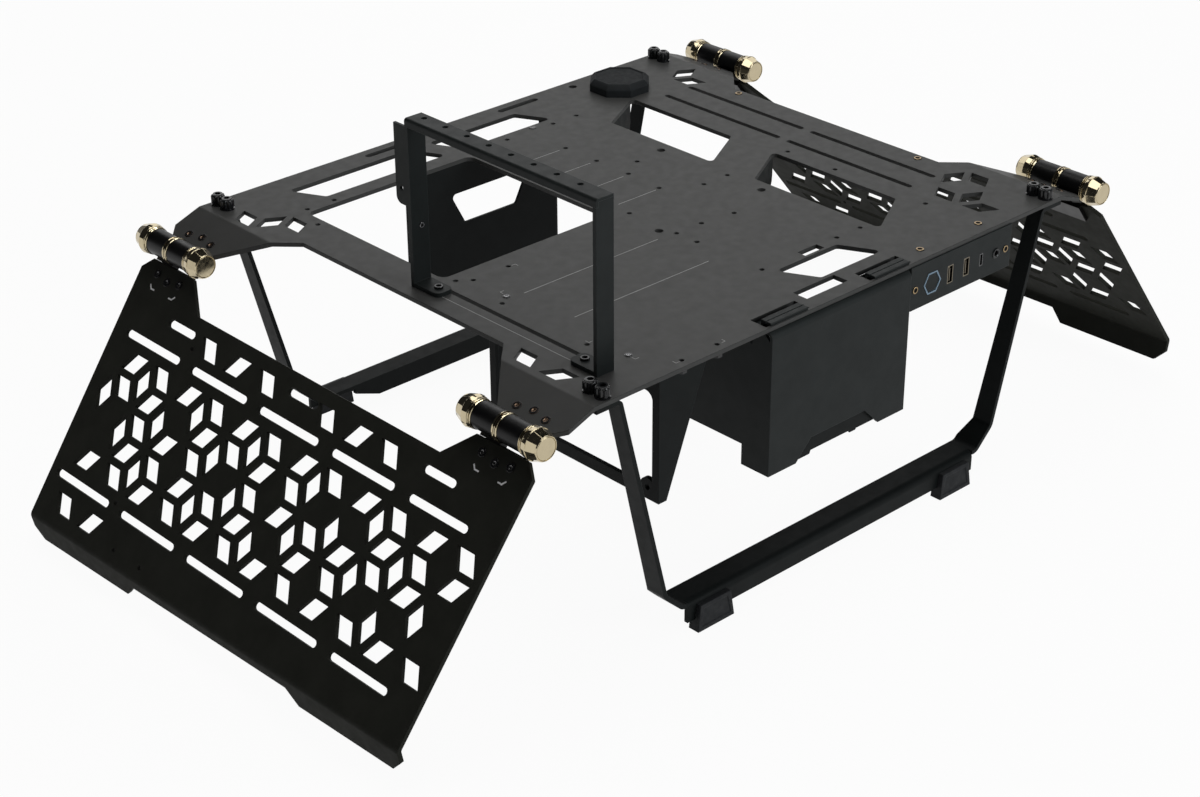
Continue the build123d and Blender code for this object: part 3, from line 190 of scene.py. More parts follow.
LOOKS = {
    # Edge factors below 1 paint shade along the edges (the plate), above 1 paint highlights along
    # them
    "plate_coat": surface("plate_coat", (0.053, 0.0533, 0.0522), (0.40, 0.50), vary=0.05,
                          specular=0.13, edge=0.6, edge_light_scale=0.5),
    "wing_coat": surface("wing_coat", (0.0230, 0.0236, 0.0200), (0.50, 0.60), specular=0.03,
                         edge=0.4, edge_light_scale=1.2),
    "frame_coat": surface("frame_coat", (0.0155, 0.0182, 0.0182), (0.38, 0.48), specular=0.09,
                          edge=0.5, edge_light_scale=3.0),
    # The frame paint again, made darker: painted shade for the stands, supply frame, drive panel
    # and the sheets under the plate
    "painted_shade_coat": surface("painted_shade_coat", (0.0080, 0.0096, 0.0096), (0.38, 0.48), specular=0.06,
                         edge=0.5, edge_light_scale=3.5),
    "hinge_coat": surface("hinge_coat", (0.004, 0.004, 0.0042), (0.30, 0.38), grain=0.5,
                          depth=0.008, strength=0.15, specular=0.2),
    "gold": surface("gold", (0.50, 0.43, 0.29), (0.05, 0.10), vary=0.05, cloud=6.0,
                    grain=0.3, depth=0.004, strength=0.1, metallic=1.0),
    "black_screw": surface("black_screw", (0.010, 0.0105, 0.0115), (0.13, 0.22), cloud=4.0,
                           grain=0.4, depth=0.01, strength=0.2, specular=0.35),
    "steel_screw": surface("steel_screw", (0.34, 0.34, 0.35), (0.22, 0.34), vary=0.08, cloud=2.0,
                           grain=0.2, depth=0.004, strength=0.15, metallic=1.0),
    "brass_screw": surface("brass_screw", (0.31, 0.225, 0.125), (0.22, 0.35), vary=0.10, cloud=2.0,
                           grain=0.2, depth=0.004, strength=0.15, metallic=1.0),
    "dim_brass": surface("dim_brass", (0.17, 0.115, 0.08), (0.20, 0.32), vary=0.10, cloud=2.0,
                         grain=0.2, depth=0.004, strength=0.15, metallic=1.0),
    "dim_steel": surface("dim_steel", (0.11, 0.11, 0.112), (0.20, 0.32), vary=0.10, cloud=2.0,
                         grain=0.2, depth=0.004, strength=0.15, metallic=1.0),
    "dark_socket": surface("dark_socket", (0.004, 0.004, 0.0042), (0.55, 0.70), cloud=2.0,
                           grain=0.3, depth=0.01, strength=0.2, specular=0.06),
    "rubber": surface("rubber", (0.013, 0.0142, 0.016), (0.58, 0.74), cloud=9.0, grain=0.35,
                      depth=0.03, strength=0.4, specular=0.2, edge=0.6),
    "board": surface("board", (0.012, 0.045, 0.024), (0.30, 0.45), vary=0.3, cloud=2.5,
                     grain=0.6, depth=0.02, strength=0.3),
    "socket_shell": surface("socket_shell", (0.19, 0.165, 0.125), (0.24, 0.36), vary=0.08,
                            cloud=3.0, grain=0.25, depth=0.004, strength=0.1, metallic=1.0),
    "black_plastic": surface("black_plastic", (0.007, 0.007, 0.0075), (0.45, 0.6), cloud=4.0,
                             grain=0.3, depth=0.01, strength=0.2),
    "light_ring": surface("light_ring", (0.16, 0.24, 0.32), (0.30, 0.42), vary=0.08, cloud=3.0,
                          grain=0.4, depth=0.005, strength=0.1),
    "pad": surface("pad", (0.0215, 0.0235, 0.0250), (0.55, 0.70), cloud=8.0, grain=0.4,
                   depth=0.02, strength=0.3, specular=0.06, edge=0.4),
    "line_print": surface("line_print", (0.30, 0.30, 0.295), (0.5, 0.65), vary=0.15, cloud=1.5,
                          grain=0.2, depth=0.004, strength=0.2),
    "tick_print": surface("tick_print", (0.80, 0.80, 0.82), (0.5, 0.65), vary=0.06, cloud=1.5,
                          grain=0.2, depth=0.004, strength=0.2),
}

# Looks of the solids, by the start of the node's name: the first that fits counts
NODE_LOOKS = (
    ("main_plate", "plate_coat"),
    ("io_panel", "frame_coat"),
    ("right_wing_screws", "black_screw"),
    ("left_wing_screws", "black_screw"),
    ("right_wing", "wing_coat"),
    ("left_wing", "wing_coat"),
    # Painted shade: these parts take the darker copy of the frame paint
    ("near_stand", "painted_shade_coat"),
    ("far_stand", "painted_shade_coat"),
    ("psu_frame", "painted_shade_coat"),
    ("drive_panel", "painted_shade_coat"),
    ("drive_box", "frame_coat"),
    ("card_bar", "frame_coat"),
    ("near_card", "frame_coat"),
    ("far_card", "frame_coat"),
    ("plate_hinge", "hinge_coat"),
    ("wing_hinge", "hinge_coat"),
    ("hinge_", "gold"),
    ("psu_screws", "black_screw"),
    ("post_screws", "black_screw"),
    ("plate_screws", "brass_screw"),
    ("panel_screws", "brass_screw"),
    ("press_nuts", "black_screw"),
    ("io_board", "board"),
    ("left_usb_a", "socket_shell"),
    ("right_usb_a", "socket_shell"),
    ("usb_c", "dim_steel"),
    ("audio_jack", "black_plastic"),
    ("power_switch", "black_plastic"),
    ("power_button", "frame_coat"),
    ("button_ring", "light_ring"),
    ("corner_pad", "pad"),
    ("ear_screws", "black_screw"),
)


def look_of(name):
    if name.endswith("_foot"):
        return "rubber"
    if name.endswith("stand_screws"):
        return "black_screw"
    for start, look in NODE_LOOKS:
        if name.startswith(start):
            return look
    return "frame_coat"


for name, node in nodes.items():
    node.data.materials.clear()
    node.data.materials.append(LOOKS[look_of(name)])


# Mesh helpers

BAR_FACES = (
    (0, 1, 3, 2), (4, 6, 7, 5), (0, 4, 5, 1),
    (2, 3, 7, 6), (0, 2, 6, 4), (1, 5, 7, 3),
)
BEVEL_SEGMENTS = 2
BEVEL_FROM = 22.0
ROUND = 36
FINE_ROUND = 64


def ring_radius(angle, radius, shape, index):
    """Distance from the axis at an angle for a round, a polygon or lobes."""
    if shape is None:
        return radius
    kind, value = shape
    if kind == "polygon":
        step = 2.0 * pi / value
        return radius * cos(step / 2.0) / cos(angle % step - step / 2.0)
    return radius * (1.0 - value * (index // 2 % 2))


def turned(bm, place, profile, sides, closed=False):
    """A turned shape about the Z of place, from (height, radius[, shape]) rows."""
    rings = []
    for height, radius, *shape in profile:
        shape = shape[0] if shape else None
        if radius == 0:
            rings.append([bm.verts.new((place @ Vector((0.0, 0.0, height))) * MM)])
            continue
        ring = []
        for index in range(sides):
            angle = 2.0 * pi * index / sides
            reach = ring_radius(angle, radius, shape, index)
            point = Vector((reach * cos(angle), reach * sin(angle), height))
            ring.append(bm.verts.new((place @ point) * MM))
        rings.append(ring)
    pairs = list(zip(rings, rings[1:]))
    if closed:
        pairs.append((rings[-1], rings[0]))
    for first, second in pairs:
        for index in range(sides):
            after = (index + 1) % sides
            if len(first) == 1:
                bm.faces.new((first[0], second[index], second[after]))
            elif len(second) == 1:
                bm.faces.new((first[index], first[after], second[0]))
            else:
                bm.faces.new((first[index], first[after], second[after], second[index]))


def bar(bm, place, low, high):
    """A closed box between two corners in the frame of place."""
    corners = []
    for x in (low[0], high[0]):
        for y in (low[1], high[1]):
            for z in (low[2], high[2]):
                corners.append(bm.verts.new((place @ Vector((x, y, z))) * MM))
    for face in BAR_FACES:
        bm.faces.new([corners[i] for i in face])


def sheet(bm, place, outline, thick):
    """A flat sheet with an outline of (x, y) points, from z 0 to thick in place's frame."""
    low = [bm.verts.new((place @ Vector((x, y, 0.0))) * MM) for x, y in outline]
    high = [bm.verts.new((place @ Vector((x, y, thick))) * MM) for x, y in outline]
    bm.faces.new(low[::-1])
    bm.faces.new(high)
    for index in range(len(outline)):
        after = (index + 1) % len(outline)
        bm.faces.new((low[index], low[after], high[after], high[index]))


def piece(name, bm, look, body, replaced=(), smooth=25.0, edge=0.0):
    """An object from bm that rides on a body, with its look and replaced nodes."""
    mesh = bpy.data.meshes.new(name)
    bmesh.ops.recalc_face_normals(bm, faces=bm.faces)
    bm.to_mesh(mesh)
    bm.free()
    mesh.polygons.foreach_set("use_smooth", [True] * len(mesh.polygons))
    mesh.set_sharp_from_angle(angle=radians(smooth))
    mesh.materials.append(LOOKS[look])
    made = bpy.data.objects.new(name, mesh)
    bpy.context.scene.collection.objects.link(made)
    if edge:
        bevel = made.modifiers.new("edge", "BEVEL")
        bevel.width = edge * MM
        bevel.segments = BEVEL_SEGMENTS
        bevel.limit_method = "ANGLE"
        bevel.angle_limit = radians(BEVEL_FROM)
    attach(made, body)
    if replaced:
        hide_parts(*replaced)


def at(x, y, z):
    return Matrix.Translation((x, y, z))


def turn(angle, axis):
    return Matrix.Rotation(radians(angle), 4, axis)


# Gold hinge caps and rings

COLLAR = (
    (0.0, 3.05), (0.0, 9.1), (0.25, 9.6), (0.75, 9.7), (1.0, 9.2), (1.0, 8.3), (1.5, 8.3),
    (1.5, 9.3), (1.75, 9.9), (2.3, 10.0), (2.55, 9.5), (2.55, 8.6), (3.0, 8.6), (3.0, 3.05),
)
FACETS = ("polygon", 16)
BAND = (
    (2.9, 0.0), (2.9, 9.8), (3.3, 10.2, FACETS), (6.5, 10.8, FACETS), (6.8, 10.7), (7.2, 10.5),
    (7.2, 0.0),
)
BAND_SIDES = 48
CONE = ((7.0, 0.0), (7.0, 10.7), (13.7, 8.5), (13.7, 0.0))
CONE_SIDES = 10
END_DISC = (
    (13.4, 0.0), (13.4, 8.2), (14.1, 8.2), (14.5, 7.9), (14.5, 7.5), (13.9, 7.4), (13.9, 7.2),
    (14.3, 7.1), (14.35, 0.0),
)
PIN = ((-45.0, 0.0), (-45.0, 3.0), (0.5, 3.0), (0.5, 0.0))
PIN_SIDES = 24
MIDDLE_RING = (
    (-2.25, 3.05), (-2.25, 9.0), (-2.0, 9.5), (-1.3, 9.6), (-0.9, 9.3), (-0.75, 8.4),
    (-0.35, 8.4), (-0.3, 9.2), (0.3, 9.2), (0.35, 8.4), (0.75, 8.4), (0.9, 9.3), (1.3, 9.6),
    (2.0, 9.5), (2.25, 9.0), (2.25, 3.05),
)
CAP_SMOOTH = 20.0
CAP_EDGE = 0.12
RING_SMOOTH = 40.0


def hinge_centre(side_name, end_name):
    """The place of a hinge, at the middle of its ring."""
    return at(*middle(f"hinge_ring_{end_name}_{side_name}"))


def gold_cap(bm, place):
    """A cap from the barrel outwards: grooved collar, faceted band, cone and end disc."""
    turned(bm, place, COLLAR, FINE_ROUND, closed=True)
    turned(bm, place, BAND, BAND_SIDES)
    turned(bm, place, CONE, CONE_SIDES)
    turned(bm, place, END_DISC, FINE_ROUND)


for side_name in SIDES:
    for end_name in ENDS:
        tail = f"{end_name}_{side_name}"
        centre = hinge_centre(side_name, end_name)
        bm = bmesh.new()
        place = centre @ at(0.0, -BARREL_END, 0.0) @ turn(90.0, "X")
        gold_cap(bm, place)
        turned(bm, place, PIN, PIN_SIDES)
        piece(f"gold_pin_{tail}", bm, "gold", "chassis", [f"hinge_pin_{tail}"],
              CAP_SMOOTH, CAP_EDGE)
        bm = bmesh.new()
        gold_cap(bm, centre @ at(0.0, BARREL_END, 0.0) @ turn(-90.0, "X"))
        piece(f"gold_cap_{tail}", bm, "gold", "chassis", [f"hinge_cap_{tail}"],
              CAP_SMOOTH, CAP_EDGE)
        bm = bmesh.new()
        turned(bm, centre @ turn(-90.0, "X"), MIDDLE_RING, FINE_ROUND, closed=True)
        piece(f"gold_ring_{tail}", bm, "gold", "chassis", [f"hinge_ring_{tail}"], RING_SMOOTH)


# Screws: head radius, head height and socket radius of each kind, and where they sit

HEXAGON = ("polygon", 6)
LOBES = ("lobes", 0.14)
KNURL_SIDES = 40
LEAF_SCREW = (3.1, 0.45, 1.25)
LEAF_SCREWS = ((19.5, -12.6), (21.8, 0.0), (19.5, 12.6))
PLATE_SCREW = (2.8, 0.5, 1.2)
PLATE_SCREWS = ((82.35, -188.5), (142.85, -188.5), (200.85, -86.5), (200.85, 91.5))
DARK_PLATE_SCREW = (40.35, 148.5)
SUPPLY_SCREW = (2.3, 0.6, 1.0)
SUPPLY_SCREWS = ((-162.15, -165.5), (-162.15, -53.5))
FOOT_SCREW = (3.0, 1.4, 1.3)
FOOT_SCREWS = ((-188.65, -155.5), (-188.65, -18.5))
FOOT_THICK = 3.0
PANEL_SCREW = (2.6, 0.5, 1.2)
PANEL_SCREW_XS = (65.05, 159.35)
POST_SCREW = (1.9, 0.7, 0.8)
POST_SCREW_PLACE = (-188.0, -3.0, 236.4)

# Knurled stand screws: radius and height, and each one's place in its pair and turn in degrees
STAND_SCREW = (4.9, 8.0)
STAND_SCREWS = ((5.25, 25.0), (-5.25, -40.0))

# Printed marks: how far they are sunk and how far they stand up
PRINT_SINK = -0.1
LINE_RISE = 0.03
CROSS_RISE = 0.04
TICK_RISE = 0.05

# Printed ticks beside the wings' hinges: half a line's width, the legs and where their feet are
TICK = 0.52
TICK_LEG = 3.6
TICK_LEAN = 42.0
TICK_REACH = 30.5
TICK_SPREAD = 12.0


def flat_screw(bm, cups, place, radius, height, socket):
    """A flat head with a six-sided socket, and the bare metal of its rim and socket."""
    turned(bm, place, (
        (-0.2, 0.0),
        (-0.2, radius * 0.97),
        (height * 0.8, radius * 0.97),
        (height, radius * 0.92),
        (height, socket * 1.45),
        (0.1, socket * 1.40),
        (0.1, 0.0),
    ), ROUND)
    turned(cups, place, (
        (-0.2, radius * 0.96),
        (height * 0.75, radius * 0.96),
        (height * 0.75, radius),
        (-0.2, radius * 1.02),
    ), ROUND, closed=True)
    turned(cups, place, (
        (0.08, 0.0),
        (0.08, socket * 1.38),
        (height * 0.9, socket * 1.38),
        (height * 0.9, socket * 1.20, HEXAGON),
        (0.2, socket * 0.80, HEXAGON),
        (0.2, 0.0),
    ), ROUND)


def knurled_screw(bm, place, radius, height):
    """A fluted thumb screw on a washer, with a crown and a six-sided socket."""
    turned(bm, place, (
        (0.0, 0.0),
        (0.0, radius * 1.04),
        (0.6, radius * 1.04),
        (0.7, radius * 0.86),
        (1.3, radius * 0.86),
        (1.7, radius, LOBES),
        (height - 1.8, radius, LOBES),
        (height - 0.9, radius * 0.90, LOBES),
        (height - 0.7, radius * 0.72),
        (height, radius * 0.68),
        (height, radius * 0.46, HEXAGON),
        (height - 2.6, radius * 0.42, HEXAGON),
        (height - 2.6, 0.0),
    ), KNURL_SIDES)


def flat_screws(name, places, size, looks, body, replaced):
    """Heads in one piece and the bare metal of their rims and sockets in another."""
    heads = bmesh.new()
    cups = bmesh.new()
    for place in places:
        flat_screw(heads, cups, place, *size)
    ending = "s" if len(places) > 1 else ""
    piece(f"{name}_head{ending}", heads, looks[0], body, replaced)
    piece(f"{name}_socket{ending}", cups, looks[1], body)


places = []
for side_name, side in SIDES.items():
    for end_name in ENDS:
        ear = hinge_centre(side_name, end_name) @ turn(side * EAR_ANGLE, "Y")
        places += [ear @ at(-side * reach, along, EAR_FACE) for reach, along in LEAF_SCREWS]
flat_screws("ear_screws", places, LEAF_SCREW, ("black_screw", "dim_brass"), "chassis",
            ["ear_screws"])

for side_name, side in SIDES.items():
    body = f"{side_name}_wing"
    ticks = bmesh.new()
    places = []
    for end_name in ENDS:
        wing = hinge_centre(side_name, end_name) @ turn(side * WING_ANGLE, "Y")
        places += [wing @ at(side * reach, along, WING_FACE) for reach, along in LEAF_SCREWS]
        for across in (-1, 1):
            foot = wing @ at(side * TICK_REACH, across * TICK_SPREAD, WING_FACE)
            leg = sorted((side * TICK, -side * TICK_LEG))
            run = sorted((across * TICK, -across * TICK_LEG))
            lean = foot @ turn(-side * across * TICK_LEAN, "Z")
            bar(ticks, lean, (leg[0], -TICK, PRINT_SINK), (leg[1], TICK, TICK_RISE))
            bar(ticks, foot, (-TICK, run[0], PRINT_SINK), (TICK, run[1], CROSS_RISE))
    flat_screws(f"{body}_screws", places, LEAF_SCREW, ("black_screw", "dim_steel"), body,
                [f"{body}_screws"])
    piece(f"{body}_ticks", ticks, "tick_print", body)

for side_name in SIDES:
    for end_name, end in ENDS.items():
        bm = bmesh.new()
        tail = f"{end_name}_{side_name}_stand_screws"
        pair = middle(tail)
        for along, spin in STAND_SCREWS:
            place = at(pair.x, pair.y + end * along, PLATE_TOP) @ turn(spin, "Z")
            knurled_screw(bm, place, *STAND_SCREW)
        piece(f"knurled_{tail}", bm, "black_screw", "chassis", [tail])

places = [at(x, y, PLATE_TOP) for x, y in PLATE_SCREWS]
flat_screws("plate_screws", places, PLATE_SCREW, ("brass_screw", "dark_socket"), "chassis",
            ["plate_screws"])
flat_screws("dark_plate_screw", [at(*DARK_PLATE_SCREW, PLATE_TOP)], PLATE_SCREW,
            ("black_screw", "dim_steel"), "chassis", ["plate_screws"])

places = [at(x, y, PLATE_TOP) for x, y in SUPPLY_SCREWS]
flat_screws("psu_screws", places, SUPPLY_SCREW, ("black_screw", "steel_screw"), "chassis",
            ["psu_screws"])

places = [at(x, y, PLATE_TOP + FOOT_THICK) for x, y in FOOT_SCREWS]
flat_screws("post_screws", places, FOOT_SCREW, ("black_screw", "dark_socket"), "chassis",
            ["post_screws"])

places = [at(x, PANEL_FRONT, PANEL_MID) @ turn(90.0, "X") for x in PANEL_SCREW_XS]
flat_screws("panel_screws", places, PANEL_SCREW, ("brass_screw", "dark_socket"), "chassis",
            ["panel_screws"])

flat_screws("far_post_screw", [at(*POST_SCREW_PLACE) @ turn(90.0, "X")], POST_SCREW,
            ("steel_screw", "black_screw"), "chassis", [])


# Tongues of the large sockets and the collar of the audio socket

TONGUE_LOW = (-0.9, 0.15, -4.6)
TONGUE_HIGH = (-0.3, 3.0, 4.6)
AUDIO_COLLAR = ((-0.3, 2.0), (-0.3, 3.7), (0.4, 3.7), (0.8, 3.3), (0.8, 2.5), (0.5, 2.0))

bm = bmesh.new()
for node in ("left_usb_a", "right_usb_a"):
    bar(bm, at(middle(node).x, PANEL_FRONT, PANEL_MID), TONGUE_LOW, TONGUE_HIGH)
piece("usb_tongues", bm, "socket_shell", "chassis")

bm = bmesh.new()
place = at(middle("audio_jack").x, PANEL_FRONT, PANEL_MID) @ turn(90.0, "X")
turned(bm, place, AUDIO_COLLAR, ROUND, closed=True)
piece("audio_collar", bm, "black_screw", "chassis")


# Tapered rubber shoes with a framed outer face

SHOE_LOW = highest("near_right_foot").x - middle("near_right_foot").x
SHOE_TOP = 13.8
SHOE_HEIGHT = highest("near_right_foot").z
SHOE_DEPTH = 9.0
SHOE_LEAN = 0.8
SHOE_FRAME = 3.0
SHOE_SINK = 0.6
SHOE_SMOOTH = 30.0
SHOE_EDGE = 0.7


def shoe(bm, place):
    """A foot with sloping ends, its outer face towards the Y of place."""
    def ring(sink, border):
        rows = []
        for z, half in ((border, SHOE_LOW), (SHOE_HEIGHT - border, SHOE_TOP)):
            y = -SHOE_LEAN * z / SHOE_HEIGHT - sink
            rows.append([(-half + border, y, z), (half - border, y, z)])
        (a, b), (d, c) = rows
        return [bm.verts.new((place @ Vector(point)) * MM) for point in (a, b, c, d)]

    outer = ring(0.0, 0.0)
    inner = ring(0.0, SHOE_FRAME)
    panel = ring(SHOE_SINK, SHOE_FRAME)
    back = [(-SHOE_LOW, 0.0), (SHOE_LOW, 0.0), (SHOE_TOP, SHOE_HEIGHT), (-SHOE_TOP, SHOE_HEIGHT)]
    back = [bm.verts.new((place @ Vector((x, -SHOE_DEPTH, z))) * MM) for x, z in back]
    for first, second in ((outer, inner), (inner, panel), (outer, back)):
        for index in range(4):
            after = (index + 1) % 4
            bm.faces.new((first[index], first[after], second[after], second[index]))
    bm.faces.new(panel)
    bm.faces.new(back)


for side_name in SIDES:
    for end_name, end in ENDS.items():
        bm = bmesh.new()
        tail = f"{end_name}_{side_name}_foot"
        face = highest(tail).y if end > 0 else lowest(tail).y
        facing = turn(0.0 if end > 0 else 180.0, "Z")
        shoe(bm, at(middle(tail).x, face, 0.0) @ facing)
        piece(f"shoe_{tail}", bm, "rubber", "chassis", [tail], SHOE_SMOOTH, SHOE_EDGE)


# Octagonal pad with a rounded shoulder and a shallow dished top

PAD_CENTRE = middle("corner_pad").xy
PAD_RADIUS = (highest("corner_pad").x - PAD_CENTRE.x) / cos(pi / 8)
PAD_SIDES = 32
PAD_SMOOTH = 20.0
PAD_TURN = 22.5
OCTAGON = ("polygon", 8)
bm = bmesh.new()
turned(bm, at(*PAD_CENTRE, PLATE_TOP) @ turn(PAD_TURN, "Z"), (
    (0.0, 0.0),
    (0.0, PAD_RADIUS, OCTAGON),
    (5.4, PAD_RADIUS, OCTAGON),
    (6.0, PAD_RADIUS - 0.3, OCTAGON),
    (9.0, PAD_RADIUS - 3.2, OCTAGON),
    (9.4, PAD_RADIUS - 4.0, OCTAGON),
    (9.4, PAD_RADIUS - 4.8, OCTAGON),
    (8.6, PAD_RADIUS - 5.8, OCTAGON),
    (8.6, 0.0),
), PAD_SIDES)
piece("pad_cap", bm, "pad", "chassis", ["corner_pad"], PAD_SMOOTH)


# Plain printed lines on the plate: left end, y and right end from the board datum

BOARD_DATUM = (-170.65, -13.5)
PRINT_LINES = (
    (20.0, -44.0, 139.0),
    (20.0, -91.5, 139.0),
    (160.0, 16.0, 196.0),
    (170.0, 49.0, 196.0),
    (170.0, 83.0, 196.0),
    (170.0, 116.0, 196.0),
)
LINE_HALF = 0.25
SLOT_LINE_X = -192.0
SLOT_LINE_YS = (-147.0, -26.0)
MARK_HALF = 0.2
MARK_LEG = 3.0
CORNER_MARKS = (
    (-148.6, -192.9, 1, 1),
    (-106.4, -192.9, -1, 1),
    (-162.8, -172.2, 1, 1),
    (-160.8, -45.9, 1, -1),
    (-126.1, -21.0, -1, -1),
    (-168.0, -136.8, 1, 1),
)
bm = bmesh.new()
for left, y, right in PRINT_LINES:
    line = at(BOARD_DATUM[0], BOARD_DATUM[1] + y, PLATE_TOP)
    bar(bm, line, (left, -LINE_HALF, PRINT_SINK), (right, LINE_HALF, LINE_RISE))
bar(bm, at(SLOT_LINE_X, 0.0, PLATE_TOP), (-MARK_HALF, SLOT_LINE_YS[0], PRINT_SINK),
    (MARK_HALF, SLOT_LINE_YS[1], LINE_RISE))
for x, y, along_x, along_y in CORNER_MARKS:
    corner = at(x, y, PLATE_TOP)
    run = sorted((0.0, along_x * MARK_LEG))
    rise = sorted((0.0, along_y * MARK_LEG))
    bar(bm, corner, (run[0], -MARK_HALF, PRINT_SINK), (run[1], MARK_HALF, LINE_RISE))
    bar(bm, corner, (-MARK_HALF, rise[0], PRINT_SINK), (MARK_HALF, rise[1], CROSS_RISE))
piece("plate_lines", bm, "line_print", "chassis")


# Sheet edges under the plate: flanges of the side passes, hook tabs and lip of the drive box

# These sheets take the darker copy of the frame paint as painted shade
PASS_ENDS = ((89.35, 115.5, 46.5), (89.35, -31.5, 51.0))
PASS_RUN = (45.0, 24.5)
FLANGE_DROP = 23.0
FLANGE_THICK = 2.0
FLANGE_LEFT = ((1.5, 0.0), (1.5, -14.0), (2.8, -19.0), (6.4, -22.2), (11.0, -FLANGE_DROP))
FLANGE_RIGHT = ((-9.0, -FLANGE_DROP), (-4.0, -22.0), (-1.0, -19.0), (0.0, -14.0), (0.0, 0.0))
bm = bmesh.new()
for x, y, reach in PASS_ENDS:
    lie = at(x, y, PLATE_UNDER) @ turn(degrees(atan2(PASS_RUN[1], PASS_RUN[0])), "Z")
    outline = FLANGE_LEFT + tuple((reach + run, drop) for run, drop in FLANGE_RIGHT)
    upright = turn(90.0, "X") @ at(0.0, 0.0, -FLANGE_THICK)
    sheet(bm, lie @ upright, outline, FLANGE_THICK)
piece("pass_flanges", bm, "painted_shade_coat", "chassis")

HOOK_XS = (-71.65, 25.85)
HOOK_Y = -185.0
HOOK_TAB_LOW = (-3.0, 0.0, -13.0)
HOOK_TAB_HIGH = (50.0, 1.2, -0.1)
bm = bmesh.new()
for left in HOOK_XS:
    bar(bm, at(left, HOOK_Y, PLATE_UNDER), HOOK_TAB_LOW, HOOK_TAB_HIGH)
piece("box_hook_tabs", bm, "painted_shade_coat", "chassis")

LIP_PLACE = (-8.0, -199.2, lowest("drive_box").z)
LIP_THICK = 1.0
LIP = (
    (-50.0, 20.0), (-50.0, 1.2), (-48.8, 0.2), (-24.5, 0.2), (-23.5, 2.6), (13.0, 2.6),
    (14.5, 1.0), (20.0, 1.0), (21.0, 2.0), (39.0, 2.0), (39.0, 20.0),
)
bm = bmesh.new()
sheet(bm, at(*LIP_PLACE) @ turn(90.0, "X"), LIP, LIP_THICK)
piece("drive_box_lip", bm, "painted_shade_coat", "chassis")


# Floor, light, world and camera

FLOOR_SIZE = 14.0
FLOOR_ROUGHNESS = 0.9
FLOOR_CLOUD = 400.0
FLOOR_DARK = (0.82, 0.82, 0.82)
FLOOR_LIGHT = (0.84, 0.84, 0.84)
FLOOR_GLOW = 0.95
LIGHT_TARGET = (0.0, 0.0, 0.18)
LIGHTS = (
    ("top_light", (0.1, 0.1, 2.1), LIGHT_TARGET, 1.6, 1.6, 20.0, (1.0, 0.99, 0.97)),
    ("back_light", (1.15, 1.25, 1.15), LIGHT_TARGET, 1.7, 1.2, 9.0, (1.0, 1.0, 1.0)),
    ("front_light", (0.6, -1.9, 0.9), LIGHT_TARGET, 1.2, 0.8, 17.0, (0.94, 0.98, 1.0)),
)
HORIZON_TOP = 0.03
HORIZON = (1.0, 1.0, 1.0, 1.0)
SKY_FROM = 0.15
SKY = (0.022, 0.023, 0.024, 1.0)
CAMERA_PLACE = (-1.04663, -1.08828, 0.85511)
CAMERA_TURN = (61.6415, 0.2504, -43.1475)
CAMERA_LENS = 71.35
CAMERA_SENSOR = 36.0


def plane(name, size, material):
    """A square level sheet, size metres across, at the height of the floor."""
    mesh = bpy.data.meshes.new(name)
    half = size / 2.0
    corners = [(-half, -half, 0), (half, -half, 0), (half, half, 0), (-half, half, 0)]
    mesh.from_pydata(corners, [], [(0, 1, 2, 3)])
    mesh.materials.append(material)
    made = bpy.data.objects.new(name, mesh)
    bpy.context.scene.collection.objects.link(made)
    return made


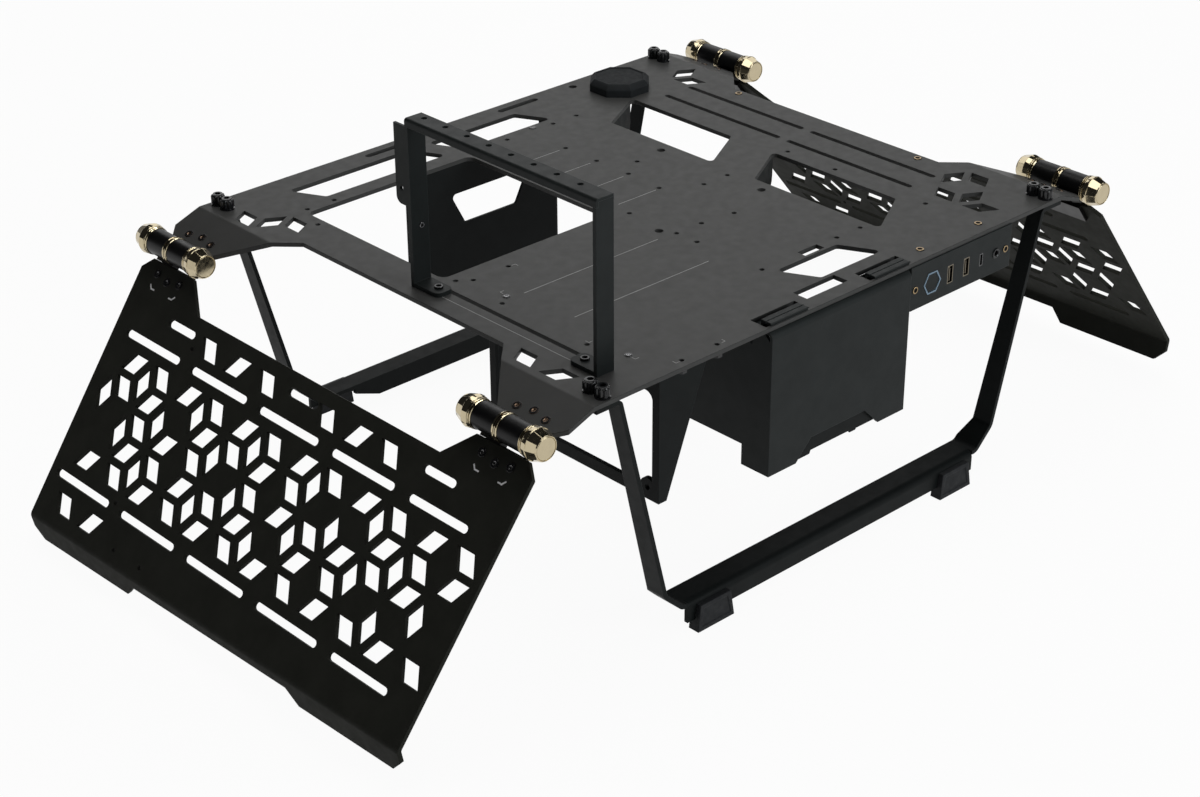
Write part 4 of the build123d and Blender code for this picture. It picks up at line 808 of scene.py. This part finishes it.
floor_look, tree, shader, coords = new_material("floor")
shader.inputs["Roughness"].default_value = FLOOR_ROUGHNESS
pale = tint(tree, noise(tree, coords, FLOOR_CLOUD), FLOOR_DARK, FLOOR_LIGHT)
tree.links.new(pale, shader.inputs["Base Color"])
glow = tree.nodes.new("ShaderNodeEmission")
path = tree.nodes.new("ShaderNodeLightPath")
seen = tree.nodes.new("ShaderNodeMath")
seen.operation = "MAXIMUM"
tree.links.new(path.outputs["Is Camera Ray"], seen.inputs[0])
tree.links.new(path.outputs["Is Glossy Ray"], seen.inputs[1])
also = tree.nodes.new("ShaderNodeMath")
also.operation = "MAXIMUM"
tree.links.new(seen.outputs[0], also.inputs[0])
tree.links.new(path.outputs["Is Transmission Ray"], also.inputs[1])
part = tree.nodes.new("ShaderNodeMath")
part.operation = "MULTIPLY"
part.inputs[1].default_value = FLOOR_GLOW
tree.links.new(also.outputs[0], part.inputs[0])
blend = tree.nodes.new("ShaderNodeMixShader")
tree.links.new(part.outputs[0], blend.inputs["Fac"])
tree.links.new(shader.outputs["BSDF"], blend.inputs[1])
tree.links.new(glow.outputs["Emission"], blend.inputs[2])
tree.links.new(blend.outputs["Shader"], tree.nodes["Material Output"].inputs["Surface"])
floor = plane("floor", FLOOR_SIZE, floor_look)


def soft_box(name, place, target, width, height, power, colour):
    """A rectangular lamp aimed at a target."""
    lamp = bpy.data.lights.new(name, "AREA")
    lamp.shape = "RECTANGLE"
    lamp.size = width
    lamp.size_y = height
    lamp.energy = power
    lamp.color = colour
    made = bpy.data.objects.new(name, lamp)
    made.location = place
    aim = Vector(target) - Vector(place)
    made.rotation_euler = aim.to_track_quat("-Z", "Y").to_euler()
    bpy.context.scene.collection.objects.link(made)


for light_settings in LIGHTS:
    soft_box(*light_settings)

world = bpy.data.worlds.new("studio")
bpy.context.scene.world = world
world.use_nodes = True
tree = world.node_tree
light = tree.nodes["Background"]
light.inputs["Strength"].default_value = 1.0
direction = tree.nodes.new("ShaderNodeTexCoord")
parts = tree.nodes.new("ShaderNodeSeparateXYZ")
tree.links.new(direction.outputs["Generated"], parts.inputs["Vector"])
sky = tree.nodes.new("ShaderNodeValToRGB")
sky.color_ramp.elements[0].position = HORIZON_TOP
sky.color_ramp.elements[0].color = HORIZON
sky.color_ramp.elements[1].position = SKY_FROM
sky.color_ramp.elements[1].color = SKY
tree.links.new(parts.outputs["Z"], sky.inputs["Fac"])
tree.links.new(sky.outputs["Color"], light.inputs["Color"])

bpy.context.scene.view_settings.view_transform = "Standard"
lens = bpy.data.cameras.new("camera")
lens.sensor_width = CAMERA_SENSOR
lens.lens = CAMERA_LENS
camera = bpy.data.objects.new("camera", lens)
camera.location = CAMERA_PLACE
camera.rotation_euler = [radians(angle) for angle in CAMERA_TURN]
bpy.context.scene.collection.objects.link(camera)
bpy.context.scene.camera = camera
